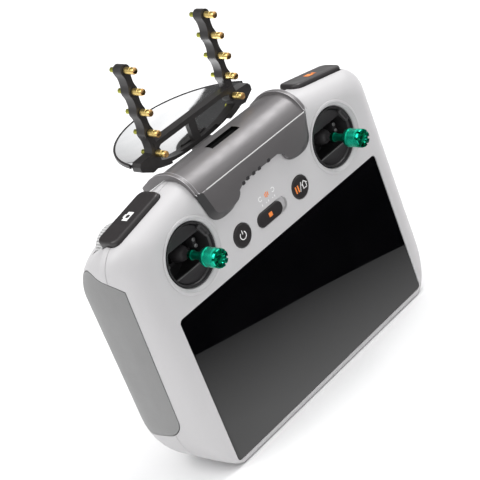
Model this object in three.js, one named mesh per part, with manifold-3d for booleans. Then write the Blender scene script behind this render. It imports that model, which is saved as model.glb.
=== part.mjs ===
// Handheld radio transmitter controller with a clip-on signal booster.
// Millimetres. X to the holder's right, Y from the screen back through the body, Z up to the antennas.
// The pieces are drawn with Y = 0 on the screen face and Z = 0 on the bottom edge, and are then moved
// together so that the middle of the whole depth is at Y = 0. A "depth" below is a drawn Y.

import * as THREE from 'three';
import { mergeVertices } from 'three/addons/utils/BufferGeometryUtils.js';
import Module from 'manifold-3d';

const wasm = await Module();
wasm.setup();

// ---------------------------------------------------------------- driving dimensions

const BODY_WIDTH = 168.4;
const BODY_DEPTH = 46.2;
const BODY_TOP = 121.2;
const WALL = 3.4;
const GAP = 0.3;
const SEAM_DEPTH = 12;
const FAR = 200;

const FACE_HALF_WIDTH = 67.6;
const FACE_TOP = 111.5;
const FACE_BOTTOM = 1.2;
const SIDE_ROUND_DEPTH = 18;
const TOP_ROUND_DEPTH = 10;
const BOTTOM_ROUND_DEPTH = 3;
const TOP_FALL_START = 14.5;
const TOP_FALL_SLOPE = 0.48;
const REAR_ROUND_START = 24;
const REAR_HALF_WIDTH = 54;
const REAR_BOTTOM = 10;
const SHOULDER_X = 38;
const SHOULDER_SLOPE = 0.19;
const SHOULDER_BEND = 30;
const FACE_CORNER = { low: 3, high: 9 };
const WIDEST_CORNER = { low: 30, high: 14 };

const BACK_PANEL_DEPTH = 31;
const TROUGH_HALF_WIDTH = 29;
const TROUGH_FLARE = 7;

const GLASS = { width: 134, height: 71.7, thickness: 1.2, centreZ: 38.7, corner: 2, sink: 0.15 };
const PANEL = { width: 126, height: 66, front: 1.65, rear: 4.6, corner: 1 };
const WELL = { x: 48, z: 94.3, radius: 13.8, rimRadius: 16.4, rimRise: 0.45 };
const STICK = { reach: 16.5, headRadius: 4.1, headLength: 9.4, neckRadius: 1.65, shaftRadius: 1.7 };
const PIVOT_DEPTH = 10;
const COVER = { front: 6, rear: 7.4, bandHalf: 6.5 };
const ROUND_BUTTON = { radius: 5.1, z: 86.5, powerX: -20.6, homeX: 18.6, rise: 0.5, flange: 1 };
const SWITCH = { x: -2.6, z: 85.8, length: 15.7, width: 6.3, travel: 3.2, rise: 0.5 };
const SHOULDER_BUTTON = { x: 59.5, depth: 14.6, length: 31, width: 12.2, corner: 3.4, rise: 1.9, root: 4 };
const DIAL = { x: 61, z: 103.8, radius: 10.2, frontDepth: 24.6, thickness: 6, chamfer: 0.6, notches: 12 };
const REAR_BUTTON = { x: 46, z: 90, width: 9, height: 5.4, corner: 2.3, rise: 0.7 };
const PAD = { thickness: 1.5, pocketSpare: 0.25, innerX: 47, front: 6.8, low: 26.5 };

const MID_FRAME = { half: 60, front: 6, rear: 8, low: 6, high: 74, postRadius: 3 };
const SCREW = { x: 43.5, lowZ: 30, highZ: 69, headRadius: 2.2, headDepth: 1.8, shankRadius: 1.1, length: 15 };
const BOARD = { half: 34, front: 12.4, rear: 14, low: 14, high: 74 };
const SINK = { half: 24, front: 14.4, base: 16, rear: 22, low: 30, high: 70, fins: 9, finWidth: 2 };
const FAN = { half: 16, front: 19.5, rear: 25.5, z: 92, wall: 1 };
const SPEAKER = { half: 9, front: 22, rear: 27, low: 14, high: 29 };
const PORT = { half: 4.5, front: 15.4, rear: 18.6, low: 0.8, high: 8, wall: 0.5, spare: 0.3 };
const BATTERY = { x: 58, z: 49, width: 17, height: 50, front: 24, rear: 35.5, corner: 3 };
const VENT = { count: 7, pitch: 5.4, width: 2.4, height: 15, z: 92 };
const SPEAKER_SLOT = { count: 5, pitch: 3, width: 12, height: 1.4, z: 22 };

const CLIP = { halfWidth: 36.5, clearance: 0.4, front: -2.4, rear: 30.6, low: 99, recessZ: 107.2 };
const CLIP_ROOF = { creaseZ: 114.6, top: 122.9, rearZ: 115.6, ribWidth: 2.3, ribRise: 1 };
const CLIP_SLOT = { left: -11.5, right: 6.3, front: 8.6, rear: 13.4 };

const BOOSTER_TILT = THREE.MathUtils.degToRad(2.5);
const BOOSTER_PIVOT = { y: 27.5, z: 127.6 };
const ROD_COUNT = 5;
const ROD_PITCH = 9.66;
const ROD = { lowZ: 127.3, front: 20.5, rear: 36, headRadius: 1.4, tailRadius: 1.1 };
const BOOM = { x: 25, front: 27.1, rear: 32.1, webWidth: 3.5, bossRadius: 2.6 };
const FRAME = { front: 26.9, rear: 31.9 };
const CROSSBAR = { low: 129.7, high: 131.9 };
const STEM = { half: 2.1, front: 29.4, low: 117.6, high: 131 };
const DISH = { centreY: 26.8, rimZ: 127.6, radius: 35.5, hubRadius: 10, drop: 8, thickness: 1.4 };
const RIM = { inner: 35.8, outer: 37.4, rise: 0.6, height: 2.2 };

// ---------------------------------------------------------------- solids

function toSolid(geometry) {
  const bare = geometry.clone();
  bare.deleteAttribute('normal');
  bare.deleteAttribute('uv');
  const merged = mergeVertices(bare, 1e-5);
  return new wasm.Manifold(new wasm.Mesh({
    numProp: 3,
    vertProperties: Float32Array.from(merged.attributes.position.array),
    triVerts: Uint32Array.from(merged.index.array),
  }));
}

function toGeometry(solid) {
  const mesh = solid.getMesh();
  const geometry = new THREE.BufferGeometry();
  geometry.setAttribute('position', new THREE.BufferAttribute(mesh.vertProperties, 3));
  geometry.setIndex(new THREE.BufferAttribute(mesh.triVerts, 1));
  geometry.computeVertexNormals();
  return geometry;
}

function union(solids) {
  return solids.reduce((whole, solid) => whole.add(solid));
}

function cut(solid, ...tools) {
  return tools.reduce((rest, tool) => rest.subtract(tool), solid);
}

function mirrored(solid) {
  return solid.mirror([1, 0, 0]);
}

function pair(solid) {
  return solid.add(mirrored(solid));
}

function repeat(count, make) {
  return Array.from({ length: count }, (_, k) => make(k));
}

// Copies of a tool, turned about Y in equal steps and then carried to (x, z).
function roundAbout(tool, count, x, z) {
  return repeat(count, (k) => tool.rotate([0, (k * 360) / count, 0]).translate([x, 0, z]));
}

function box(x0, x1, y0, y1, z0, z1) {
  const geometry = new THREE.BoxGeometry(x1 - x0, y1 - y0, z1 - z0);
  geometry.translate((x0 + x1) / 2, (y0 + y1) / 2, (z0 + z1) / 2);
  return toSolid(geometry);
}

// A lathe from [radius, height along the axis] pairs, with its faces outward whichever way they run.
function revolved(profile, segments) {
  const points = profile.map(([radius, along]) => new THREE.Vector2(radius, along));
  if (THREE.ShapeUtils.area(points) < 0) {
    points.reverse();
  }
  return new THREE.LatheGeometry(points, segments);
}

// A turned piece whose axis runs along Y through (x, z). The profile holds [radius, depth] pairs.
function turned(profile, x, z, segments = 24) {
  const geometry = revolved(profile, segments);
  geometry.translate(x, 0, z);
  return toSolid(geometry);
}

function disc(radius, x, z, y0, y1, segments = 32) {
  return turned([[0, y0], [radius, y0], [radius, y1], [0, y1]], x, z, segments);
}

// A shape drawn in X and Z, made into a plate from depth y0 to depth y1.
function plate(shape, y0, y1, curveSegments = 6) {
  const geometry = new THREE.ExtrudeGeometry(shape, { depth: y1 - y0, bevelEnabled: false, curveSegments });
  geometry.rotateX(Math.PI / 2);
  geometry.translate(0, y1, 0);
  return toSolid(geometry);
}

// A shape drawn in Y and Z, made into a bar from x0 to x1.
function sidePlate(shape, x0, x1, curveSegments = 6) {
  const geometry = new THREE.ExtrudeGeometry(shape, { depth: x1 - x0, bevelEnabled: false, curveSegments });
  geometry.rotateX(Math.PI / 2);
  geometry.rotateZ(Math.PI / 2);
  geometry.translate(x0, 0, 0);
  return toSolid(geometry);
}

function roundedRectangle(width, height, radius, x = 0, z = 0) {
  const shape = new THREE.Shape();
  const across = width / 2 - radius;
  const up = height / 2 - radius;
  shape.absarc(x + across, z + up, radius, 0, Math.PI / 2);
  shape.absarc(x - across, z + up, radius, Math.PI / 2, Math.PI);
  shape.absarc(x - across, z - up, radius, Math.PI, Math.PI * 1.5);
  shape.absarc(x + across, z - up, radius, Math.PI * 1.5, Math.PI * 2);
  return shape;
}

function polygon(points) {
  return new THREE.Shape(points.map(([x, z]) => new THREE.Vector2(x, z)));
}

// ---------------------------------------------------------------- the body's outer form

// How far a rounded edge has swung out at a depth: 0 on the flat face, 1 where the round ends.
function swing(depth, roundDepth, grow) {
  const left = 1 - Math.min(1, Math.max(0, (depth + grow) / (roundDepth + grow)));
  return Math.sqrt(1 - left * left);
}

// How far the rear round has closed in at a depth: 1 before it starts, 0 on the rear face.
function rearSwing(depth, grow) {
  const along = Math.max(0, (depth - REAR_ROUND_START) / (BODY_DEPTH + grow - REAR_ROUND_START));
  return Math.sqrt(Math.max(0, 1 - along * along));
}

// The sizes that set the body's outline at a depth, on a body grown by a distance all round.
function outlineAt(depth, grow) {
  const side = swing(depth, SIDE_ROUND_DEPTH, grow);
  const closed = 1 - rearSwing(depth, grow);
  const sideReach = BODY_WIDTH / 2 - FACE_HALF_WIDTH + grow;
  const rearReach = BODY_WIDTH / 2 - REAR_HALF_WIDTH + grow;
  const topReach = BODY_TOP - FACE_TOP + grow;
  const bottomReach = FACE_BOTTOM + grow;
  const fall = Math.max(0, depth - TOP_FALL_START) * TOP_FALL_SLOPE;
  return {
    half: FACE_HALF_WIDTH + sideReach * side - rearReach * closed,
    top: FACE_TOP + topReach * swing(depth, TOP_ROUND_DEPTH, grow) - fall,
    bottom: FACE_BOTTOM - bottomReach * swing(depth, BOTTOM_ROUND_DEPTH, grow) + REAR_BOTTOM * closed,
    low: THREE.MathUtils.lerp(FACE_CORNER.low, WIDEST_CORNER.low, side),
    high: THREE.MathUtils.lerp(FACE_CORNER.high, WIDEST_CORNER.high, side),
  };
}

// Points round a corner of a polygon, as an arc tangent to both of its edges.
function cornerArc(before, corner, after, radius, steps) {
  const inward = before.clone().sub(corner).normalize();
  const outward = after.clone().sub(corner).normalize();
  const halfAngle = inward.angleTo(outward) / 2;
  const reach = radius / Math.tan(halfAngle);
  const start = corner.clone().addScaledVector(inward, reach);
  const end = corner.clone().addScaledVector(outward, reach);
  const bisector = inward.clone().add(outward).normalize();
  const centre = corner.clone().addScaledVector(bisector, radius / Math.sin(halfAngle));
  const from = Math.atan2(start.y - centre.y, start.x - centre.x);
  let turn = Math.atan2(end.y - centre.y, end.x - centre.x) - from;
  turn -= Math.round(turn / (2 * Math.PI)) * 2 * Math.PI;
  return repeat(steps + 1, (k) => {
    const angle = from + (turn * k) / steps;
    return new THREE.Vector2(centre.x + radius * Math.cos(angle), centre.y + radius * Math.sin(angle));
  });
}

function bodyRing(depth, grow) {
  const { half, top, bottom, low, high } = outlineAt(depth, grow);
  const shoulder = top - SHOULDER_SLOPE * (half - SHOULDER_X);
  const corners = [
    { at: new THREE.Vector2(half, bottom), radius: low, steps: 5 },
    { at: new THREE.Vector2(half, shoulder), radius: high, steps: 4 },
    { at: new THREE.Vector2(SHOULDER_X, top), radius: SHOULDER_BEND, steps: 1 },
    { at: new THREE.Vector2(-SHOULDER_X, top), radius: SHOULDER_BEND, steps: 1 },
    { at: new THREE.Vector2(-half, shoulder), radius: high, steps: 4 },
    { at: new THREE.Vector2(-half, bottom), radius: low, steps: 5 },
  ];
  return corners.flatMap(({ at, radius, steps }, k) => {
    const before = corners[(k + corners.length - 1) % corners.length].at;
    const after = corners[(k + 1) % corners.length].at;
    return cornerArc(before, at, after, radius, steps);
  });
}

// The body grown by a distance, as rings of points joined from the screen face to the rear face.
function bodyForm(grow) {
  const frontSteps = [0, 0.03, 0.12, 0.28, 0.55, 1];
  const rearSteps = [0, 0.45, 0.8, 1];
  const rearDepth = BODY_DEPTH + grow;
  const depths = [
    ...frontSteps.map((t) => -grow + t * (SIDE_ROUND_DEPTH + grow)),
    ...rearSteps.map((t) => REAR_ROUND_START + t * (rearDepth - REAR_ROUND_START)),
  ];
  const rings = depths.map((depth) => bodyRing(depth, grow).map((p) => [p.x, depth, p.y]));
  const count = rings[0].length;
  const middleZ = BODY_TOP / 2;
  const positions = [...rings.flat(2), 0, depths[0], middleZ, 0, rearDepth, middleZ];
  const frontMiddle = rings.length * count;
  const rearMiddle = frontMiddle + 1;
  const lastRing = (rings.length - 1) * count;
  const triangles = [];
  for (let k = 0; k < count; k += 1) {
    const next = (k + 1) % count;
    for (let ring = 0; ring < lastRing; ring += count) {
      const a = ring + k;
      const b = ring + next;
      triangles.push(a, a + count, b, b, a + count, b + count);
    }
    triangles.push(frontMiddle, k, next, rearMiddle, lastRing + next, lastRing + k);
  }
  const geometry = new THREE.BufferGeometry();
  geometry.setAttribute('position', new THREE.Float32BufferAttribute(positions, 3));
  geometry.setIndex(triangles);
  return cut(toSolid(geometry), trough(-grow));
}

// The hollow between the two rear grips. It widens towards the back.
function trough(grow) {
  const half = TROUGH_HALF_WIDTH + grow;
  const floor = BACK_PANEL_DEPTH - grow;
  const rear = BODY_DEPTH + 10;
  const flare = (TROUGH_FLARE * (rear - floor)) / (BODY_DEPTH - BACK_PANEL_DEPTH);
  const outline = polygon([[-half, floor], [half, floor], [half + flare, rear], [-half - flare, rear]]);
  const geometry = new THREE.ExtrudeGeometry(outline, { depth: 2 * FAR, bevelEnabled: false });
  geometry.translate(0, 0, -FAR);
  return toSolid(geometry);
}

const bodyOuter = bodyForm(0);
const bodyInner = bodyForm(-WALL);

// ---------------------------------------------------------------- openings in the shells

function switchRecess() {
  const length = SWITCH.length + SWITCH.travel + 2 * GAP;
  const x = SWITCH.x + SWITCH.travel / 2;
  return roundedRectangle(length, SWITCH.width + 2 * GAP, SWITCH.width / 2, x, SWITCH.z);
}

function switchSlot() {
  return box(SWITCH.x - 3, SWITCH.x + 3 + SWITCH.travel, 0, 10, SWITCH.z - 1.6, SWITCH.z + 1.6);
}

// The grip pad's edge from the side, drawn in depth and height and drawn in by a distance.
function padOutline(shrink) {
  const front = PAD.front + shrink;
  const low = PAD.low + shrink;
  const shape = new THREE.Shape();
  shape.moveTo(front, 97 - shrink);
  shape.lineTo(front + 1.4, low + 6);
  shape.quadraticCurveTo(front + 2, low, front + 8, low - 0.5);
  shape.lineTo(60, low - 6);
  shape.lineTo(60, 78 - shrink);
  shape.lineTo(43, 80 - shrink);
  shape.lineTo(36, 98 - shrink);
  shape.quadraticCurveTo(30, 106 - shrink, 22, 105 - shrink);
  shape.quadraticCurveTo(12, 103.5 - shrink, front, 97 - shrink);
  return shape;
}

function padPocket() {
  const core = bodyForm(-PAD.thickness - PAD.pocketSpare);
  return cut(sidePlate(padOutline(0), PAD.innerX - GAP, FAR), core);
}

function shoulderHeight(x) {
  return BODY_TOP - SHOULDER_SLOPE * (x - SHOULDER_X);
}

// A shoulder button's block or its hole, set square to the sloping shoulder.
function shoulderBlock(spare, rise, root) {
  const { x, depth, length, width, corner } = SHOULDER_BUTTON;
  const shape = roundedRectangle(length + spare * 2, width + spare * 2, corner + spare);
  const options = { depth: rise + root, bevelEnabled: false, curveSegments: 4 };
  const geometry = new THREE.ExtrudeGeometry(shape, options);
  geometry.translate(0, 0, -root);
  geometry.rotateY(Math.atan(SHOULDER_SLOPE));
  geometry.translate(x, depth, shoulderHeight(x));
  return toSolid(geometry);
}

function dialSlot() {
  const reach = DIAL.radius + 0.8;
  const rear = DIAL.frontDepth + DIAL.thickness;
  return box(DIAL.x - reach, DIAL.x + reach, DIAL.frontDepth - 2 * GAP, rear + 2 * GAP, DIAL.z - 12, FAR);
}

function roundButtonHole(x) {
  return disc(ROUND_BUTTON.radius + GAP, x, ROUND_BUTTON.z, -5, 10);
}

function rearButtonPlate(spare, front, rear) {
  const { x, z, width, height, corner } = REAR_BUTTON;
  const shape = roundedRectangle(width + spare * 2, height + spare * 2, corner + spare / 3, x, z);
  return plate(shape, front, rear, 4);
}

const padPockets = pair(padPocket());
const shoulderHoles = pair(shoulderBlock(0.4, 20, 12));

// ---------------------------------------------------------------- screws and their posts

function atScrews(make) {
  const places = [-SCREW.x, SCREW.x].flatMap((x) => [SCREW.lowZ, SCREW.highZ].map((z) => ({ x, z })));
  return union(places.map(make));
}

function screwPosts() {
  const { rear, postRadius } = MID_FRAME;
  return atScrews(({ x, z }) => disc(postRadius, x, z, rear - 0.5, BODY_DEPTH - WALL - GAP, 12));
}

function screwHole({ x, z }) {
  const pilot = disc(SCREW.shankRadius + 0.2, x, z, BODY_DEPTH - SCREW.length - 1, FAR, 12);
  return pilot.add(disc(SCREW.headRadius + GAP, x, z, BODY_DEPTH - SCREW.headDepth - GAP, FAR, 16));
}

const screwHoles = atScrews(screwHole);

function screw(x, z) {
  const { headRadius, headDepth, shankRadius, length } = SCREW;
  const profile = [
    [0, BODY_DEPTH - length],
    [shankRadius, BODY_DEPTH - length],
    [shankRadius, BODY_DEPTH - headDepth],
    [headRadius, BODY_DEPTH - headDepth],
    [headRadius, BODY_DEPTH - 0.4],
    [0, BODY_DEPTH - 0.4],
  ];
  return turned(profile, x, z, 16);
}

// ---------------------------------------------------------------- shells

function frontShell() {
  const rims = pair(disc(WELL.rimRadius, WELL.x, WELL.z, -WELL.rimRise, 1, 28));
  const skin = cut(bodyOuter.add(rims), bodyInner);
  const front = skin.intersect(box(-FAR, FAR, -FAR, SEAM_DEPTH - GAP / 2, -FAR, FAR));
  const glassSeat = roundedRectangle(GLASS.width + GAP, GLASS.height + GAP, GLASS.corner, 0, GLASS.centreZ);
  const panelWindow = roundedRectangle(PANEL.width + 3, PANEL.height + 1, PANEL.corner, 0, GLASS.centreZ);
  return cut(
    front,
    pair(disc(WELL.radius, WELL.x, WELL.z, -5, 10, 28)),
    plate(glassSeat, -5, 1.7),
    plate(panelWindow, -5, 10),
    plate(switchRecess(), -5, 1.3),
    switchSlot(),
    roundButtonHole(ROUND_BUTTON.powerX),
    roundButtonHole(ROUND_BUTTON.homeX),
    shoulderHoles,
    padPockets,
  );
}

function backPanelSlot(width, height, corner, x, z) {
  const shape = roundedRectangle(width, height, corner, x, z);
  return plate(shape, BACK_PANEL_DEPTH - WALL - 2, BACK_PANEL_DEPTH + 2, 2);
}

function ventSlots() {
  const { count, pitch, width, height, z } = VENT;
  return union(repeat(count, (k) => backPanelSlot(width, height, 1.1, (k - (count - 1) / 2) * pitch, z)));
}

function speakerSlots() {
  const { count, pitch, width, height, z } = SPEAKER_SLOT;
  return union(repeat(count, (k) => backPanelSlot(width, height, 0.6, 0, z + (k - (count - 1) / 2) * pitch)));
}

function portHole() {
  const { half, front, rear, spare } = PORT;
  return box(-half - spare, half + spare, front - spare, rear + spare, -5, 6);
}

function rearShell() {
  const skin = cut(bodyOuter, bodyInner);
  const rear = skin.intersect(box(-FAR, FAR, SEAM_DEPTH + GAP / 2, FAR, -FAR, FAR));
  return cut(
    rear,
    shoulderHoles,
    pair(dialSlot()),
    padPockets,
    screwHoles,
    ventSlots(),
    speakerSlots(),
    pair(rearButtonPlate(GAP, BODY_DEPTH - 8, FAR)),
    portHole(),
  );
}

// ---------------------------------------------------------------- display and inner pieces

function displayGlass() {
  const { width, height, corner, centreZ, sink, thickness } = GLASS;
  return plate(roundedRectangle(width, height, corner, 0, centreZ), sink, sink + thickness);
}

function displayPanel() {
  const shape = roundedRectangle(PANEL.width, PANEL.height, PANEL.corner, 0, GLASS.centreZ);
  return plate(shape, PANEL.front, PANEL.rear, 2);
}

// The metal frame behind the display. Its four posts take the screws from the rear shell.
function midFrame() {
  const { half, front, rear, low, high } = MID_FRAME;
  const sheet = box(-half, half, front, rear, low, high);
  const window = box(-22, 22, front - 1, rear + 1, low + 18, high - 18);
  return cut(sheet.add(screwPosts()), window, screwHoles);
}

function mainBoard() {
  return box(-BOARD.half, BOARD.half, BOARD.front, BOARD.rear, BOARD.low, BOARD.high);
}

function heatSink() {
  const { half, front, base, rear, low, high, fins, finWidth } = SINK;
  const pitch = (2 * (half - 2) - finWidth) / (fins - 1);
  const finBoxes = repeat(fins, (k) => {
    const x = 2 - half + k * pitch;
    return box(x, x + finWidth, base - 0.2, rear, low + 1, high - 1);
  });
  return union([box(-half, half, front, base, low, high), ...finBoxes]);
}

function coolingFan() {
  const { half, front, rear, z, wall } = FAN;
  const block = box(-half, half, front, rear, z - half, z + half);
  return cut(block, disc(half - 2, 0, z, front + wall, rear + 1, 24));
}

function speaker() {
  return box(-SPEAKER.half, SPEAKER.half, SPEAKER.front, SPEAKER.rear, SPEAKER.low, SPEAKER.high);
}

function chargePort() {
  const { half, front, rear, low, high, wall } = PORT;
  const mouth = box(wall - half, half - wall, front + wall, rear - wall, 0, high - 1);
  return cut(box(-half, half, front, rear, low, high), mouth);
}

function batteryCell() {
  const { x, z, width, height, front, rear, corner } = BATTERY;
  return plate(roundedRectangle(width, height, corner, x, z), front, rear, 3);
}

// ---------------------------------------------------------------- gimbals and sticks

// A cup behind the well with a lug on each side for the yoke's bearings. A cover plate crosses it above
// and below the stick, and leaves a level band open for the mechanism.
function gimbalHousing() {
  const { x, z } = WELL;
  const outer = WELL.radius - 0.4;
  const inner = outer - 1.3;
  const mouth = 0.9;
  const floor = 18.4;
  const rear = 20;
  const profile = [[0, rear], [outer, rear], [outer, mouth], [inner, mouth], [inner, floor], [0, floor]];
  const lugs = box(x - 17, x + 17, 15, rear, z - 5, z + 5);
  const cup = cut(turned(profile, x, z).add(lugs), disc(inner, x, z, 0, floor, 24));
  const band = box(x - outer, x + outer, 0, floor, z - COVER.bandHalf, z + COVER.bandHalf);
  const covers = cut(disc(inner + 0.2, x, z, COVER.front, COVER.rear, 24), band);
  return cup.add(covers);
}

// The rocking yoke turns about X on its two end blocks. Its bars pass above and below the shaft.
function gimbalYoke() {
  const { x, z } = WELL;
  const armX = 8.5;
  const barZ = 4.6;
  const half = 1;
  const barFront = PIVOT_DEPTH + 2.8;
  const barRear = PIVOT_DEPTH + 4.8;
  const armFront = PIVOT_DEPTH - 2.6;
  const pieces = [-1, 1].flatMap((side) => {
    const arm = x + side * armX;
    const bar = z + side * barZ;
    return [
      box(arm - half, arm + half, armFront, barRear, z - 2.6, z + 2.6),
      box(arm - half, arm + half, barFront, barRear, z - barZ - half, z + barZ + half),
      box(x - armX - 0.5, x + armX + 0.5, barFront, barRear, bar - half, bar + half),
    ];
  });
  return union(pieces);
}

function stickShaft() {
  const profile = [
    [0, PIVOT_DEPTH + 4.2],
    [2.6, PIVOT_DEPTH + 4.2],
    [4, PIVOT_DEPTH],
    [3.2, PIVOT_DEPTH - 4],
    [STICK.shaftRadius, PIVOT_DEPTH - 6],
    [STICK.shaftRadius, 1.8],
    [0, 1.8],
  ];
  return turned(profile, WELL.x, WELL.z, 20);
}

// The screw-on stick: a foot, a neck, a straight head and a crown of notches at the end.
function stickCap() {
  const { reach, headRadius, headLength, neckRadius } = STICK;
  const top = -reach;
  const headStart = top + headLength;
  const profile = [
    [0, 1.6],
    [2.5, 1.6],
    [2.5, -0.4],
    [neckRadius, -1.2],
    [neckRadius, headStart],
    [headRadius - 0.9, headStart],
    [headRadius, headStart - 0.9],
    [headRadius, top + 0.6],
    [headRadius - 0.5, top],
    [2.1, top],
    [1.4, top + 1.4],
    [0, top + 1.4],
  ];
  const notch = box(1.6, 5, top - 1, top + 1.5, -0.6, 0.6);
  return cut(turned(profile, WELL.x, WELL.z, 18), ...roundAbout(notch, 6, WELL.x, WELL.z));
}

// ---------------------------------------------------------------- buttons, switch and dials

function roundButton(x) {
  const { radius, z, rise, flange } = ROUND_BUTTON;
  const flangeFront = WALL + GAP;
  const profile = [
    [0, flangeFront + 1.1],
    [radius + flange, flangeFront + 1.1],
    [radius + flange, flangeFront],
    [radius, flangeFront],
    [radius, 0.4 - rise],
    [radius - 0.4, -rise],
    [0, -rise],
  ];
  return turned(profile, x, z, 20);
}

function modeSwitch() {
  const { x, z, length, width, rise } = SWITCH;
  const cap = plate(roundedRectangle(length, width, width / 2 - 0.05, x, z), -rise, 1, 8);
  return cap.add(box(x - 2.6, x + 2.6, 0.9, 5, z - 1.3, z + 1.3));
}

function dialWheel() {
  const { x, z, radius, frontDepth, thickness, chamfer, notches } = DIAL;
  const rear = frontDepth + thickness;
  const profile = [
    [0, rear],
    [radius - chamfer, rear],
    [radius, rear - chamfer],
    [radius, frontDepth + chamfer],
    [radius - chamfer, frontDepth],
    [0, frontDepth],
  ];
  const notch = box(radius - 0.6, radius + 1, frontDepth + 1, rear - 1, -0.6, 0.6);
  return cut(turned(profile, x, z), ...roundAbout(notch, notches, x, z));
}

function rearButton() {
  return rearButtonPlate(0, BODY_DEPTH - 5.5, BODY_DEPTH + REAR_BUTTON.rise);
}

function gripPad() {
  return cut(sidePlate(padOutline(GAP), PAD.innerX, FAR), bodyForm(-PAD.thickness)).intersect(bodyOuter);
}

// ---------------------------------------------------------------- clip-on saddle

// The saddle's outline from the front: two lobes hang down the face, with a recess between them.
function saddleFront() {
  const { halfWidth, low, recessZ } = CLIP;
  const shape = new THREE.Shape();
  shape.moveTo(-halfWidth, 160);
  shape.lineTo(-halfWidth, 110);
  shape.lineTo(3 - halfWidth, low + 6);
  shape.quadraticCurveTo(4 - halfWidth, low, -26, low);
  shape.quadraticCurveTo(-15.5, low, -15, recessZ - 2);
  shape.lineTo(-11, recessZ);
  shape.lineTo(11, recessZ);
  shape.lineTo(15, recessZ - 2);
  shape.quadraticCurveTo(15.5, low, 26, low);
  shape.quadraticCurveTo(halfWidth - 4, low, halfWidth - 3, low + 6);
  shape.lineTo(halfWidth, 110);
  shape.lineTo(halfWidth, 160);
  shape.closePath();
  return shape;
}

// A bar along X with the saddle's section: a flat front, a crease, and a rounded roof that falls to the rear.
function saddleBar(x0, x1, rise) {
  const { front, rear } = CLIP;
  const { creaseZ, top, rearZ } = CLIP_ROOF;
  const shape = new THREE.Shape();
  shape.moveTo(front, 90);
  shape.lineTo(front, creaseZ);
  shape.quadraticCurveTo(2.5 - rise / 2, 122 + rise, 11, top + rise);
  shape.quadraticCurveTo(19, top + rise, 24, 119.9 + rise);
  shape.lineTo(rear, rearZ + rise);
  shape.lineTo(rear, 90);
  shape.closePath();
  return sidePlate(shape, x0, x1, 7);
}

function clipSaddle() {
  const { halfWidth, clearance } = CLIP;
  const { left, right, front, rear } = CLIP_SLOT;
  const ribStart = halfWidth - CLIP_ROOF.ribWidth;
  const bars = union([
    saddleBar(-halfWidth, halfWidth, 0),
    pair(saddleBar(ribStart, halfWidth, CLIP_ROOF.ribRise)),
    box(-6, 6, 25.4, 28.8, 112, 118.4),
  ]);
  const slot = box(left, right, front, rear, 100, FAR);
  return cut(bars.intersect(plate(saddleFront(), -10, FAR)), bodyForm(clearance), slot);
}

// ---------------------------------------------------------------- booster frame, rods and reflector

function rodZ(k) {
  return ROD.lowZ + ROD_PITCH * k;
}

function rodPlaces() {
  return [-BOOM.x, BOOM.x].flatMap((x) => repeat(ROD_COUNT, (k) => ({ x, z: rodZ(k) })));
}

function boom() {
  const half = BOOM.webWidth / 2;
  const web = box(BOOM.x - half, BOOM.x + half, BOOM.front, BOOM.rear, rodZ(0), rodZ(ROD_COUNT - 1));
  const bosses = repeat(ROD_COUNT, (k) => disc(BOOM.bossRadius, BOOM.x, rodZ(k), BOOM.front, BOOM.rear, 12));
  return union([web, ...bosses]);
}

// The foot plate that stands out beside each boom, over the end of the reflector.
function boomFoot() {
  return polygon([
    [24, 122],
    [27, 121.4],
    [30.2, 121],
    [36, 124.3],
    [36, 126.6],
    [34.8, 128.1],
    [24, 128.6],
  ]);
}

// The bowed arm from the stem out to the foot. It follows the reflector's bowl.
function bowedArm() {
  const arm = new THREE.Shape();
  arm.moveTo(28, 121.6);
  arm.lineTo(27, 125);
  arm.quadraticCurveTo(19, 120, 0, 119.6);
  arm.lineTo(0, 117.7);
  arm.quadraticCurveTo(18, 117.5, 28, 121.6);
  return arm;
}

function boosterFrame() {
  const { front, rear } = FRAME;
  const wing = union([boom(), plate(boomFoot(), front, rear + 0.2), plate(bowedArm(), front, rear, 5)]);
  const crossbar = box(-BOOM.x, BOOM.x, front, rear, CROSSBAR.low, CROSSBAR.high);
  const stem = box(-STEM.half, STEM.half, STEM.front, rear, STEM.low, STEM.high);
  const saddleRelief = box(-19, 19, 20, STEM.front - 0.1, 110, 120.4);
  const rodHoles = union(rodPlaces().map(({ x, z }) => disc(ROD.tailRadius + 0.15, x, z, 0, 60, 10)));
  return cut(union([pair(wing), crossbar, stem]), rodHoles, saddleRelief);
}

function rod({ x, z }) {
  const { front, rear, headRadius, tailRadius } = ROD;
  const step = FRAME.front - 0.15;
  const profile = [
    [0, rear],
    [tailRadius, rear],
    [tailRadius, step],
    [headRadius, step],
    [headRadius, front + 0.5],
    [headRadius - 0.5, front],
    [0, front],
  ];
  return turned(profile, x, z, 10);
}

// A piece of revolution about a line along Z, kept only behind the frame.
function revolvedBehindFrame(profile) {
  const geometry = revolved(profile, 44);
  geometry.rotateX(Math.PI / 2);
  geometry.translate(0, DISH.centreY, 0);
  return toSolid(geometry).intersect(box(-FAR, FAR, FRAME.rear + GAP, FAR, 0, FAR));
}

function dishHeight(radius) {
  const { radius: rim, hubRadius, drop, rimZ } = DISH;
  const along = Math.max(0, (radius - hubRadius) / (rim - hubRadius));
  return rimZ - drop * (1 - along ** 1.5);
}

function reflectorDish() {
  const { radius, hubRadius, thickness } = DISH;
  const steps = 6;
  const radii = repeat(steps + 1, (k) => hubRadius + ((radius - hubRadius) * k) / steps);
  const upper = radii.map((r) => [r, dishHeight(r)]);
  const lower = radii.map((r) => [r, dishHeight(r) - thickness]).reverse();
  const hubZ = dishHeight(hubRadius);
  return revolvedBehindFrame([[0, hubZ], ...upper, ...lower, [0, hubZ - thickness]]);
}

function reflectorRim() {
  const { inner, outer, rise, height } = RIM;
  const top = DISH.rimZ + rise;
  const bottom = top - height;
  return revolvedBehindFrame([[inner, bottom], [inner, top], [outer, top], [outer, bottom], [inner, bottom]]);
}

// ---------------------------------------------------------------- materials and assembly

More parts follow.
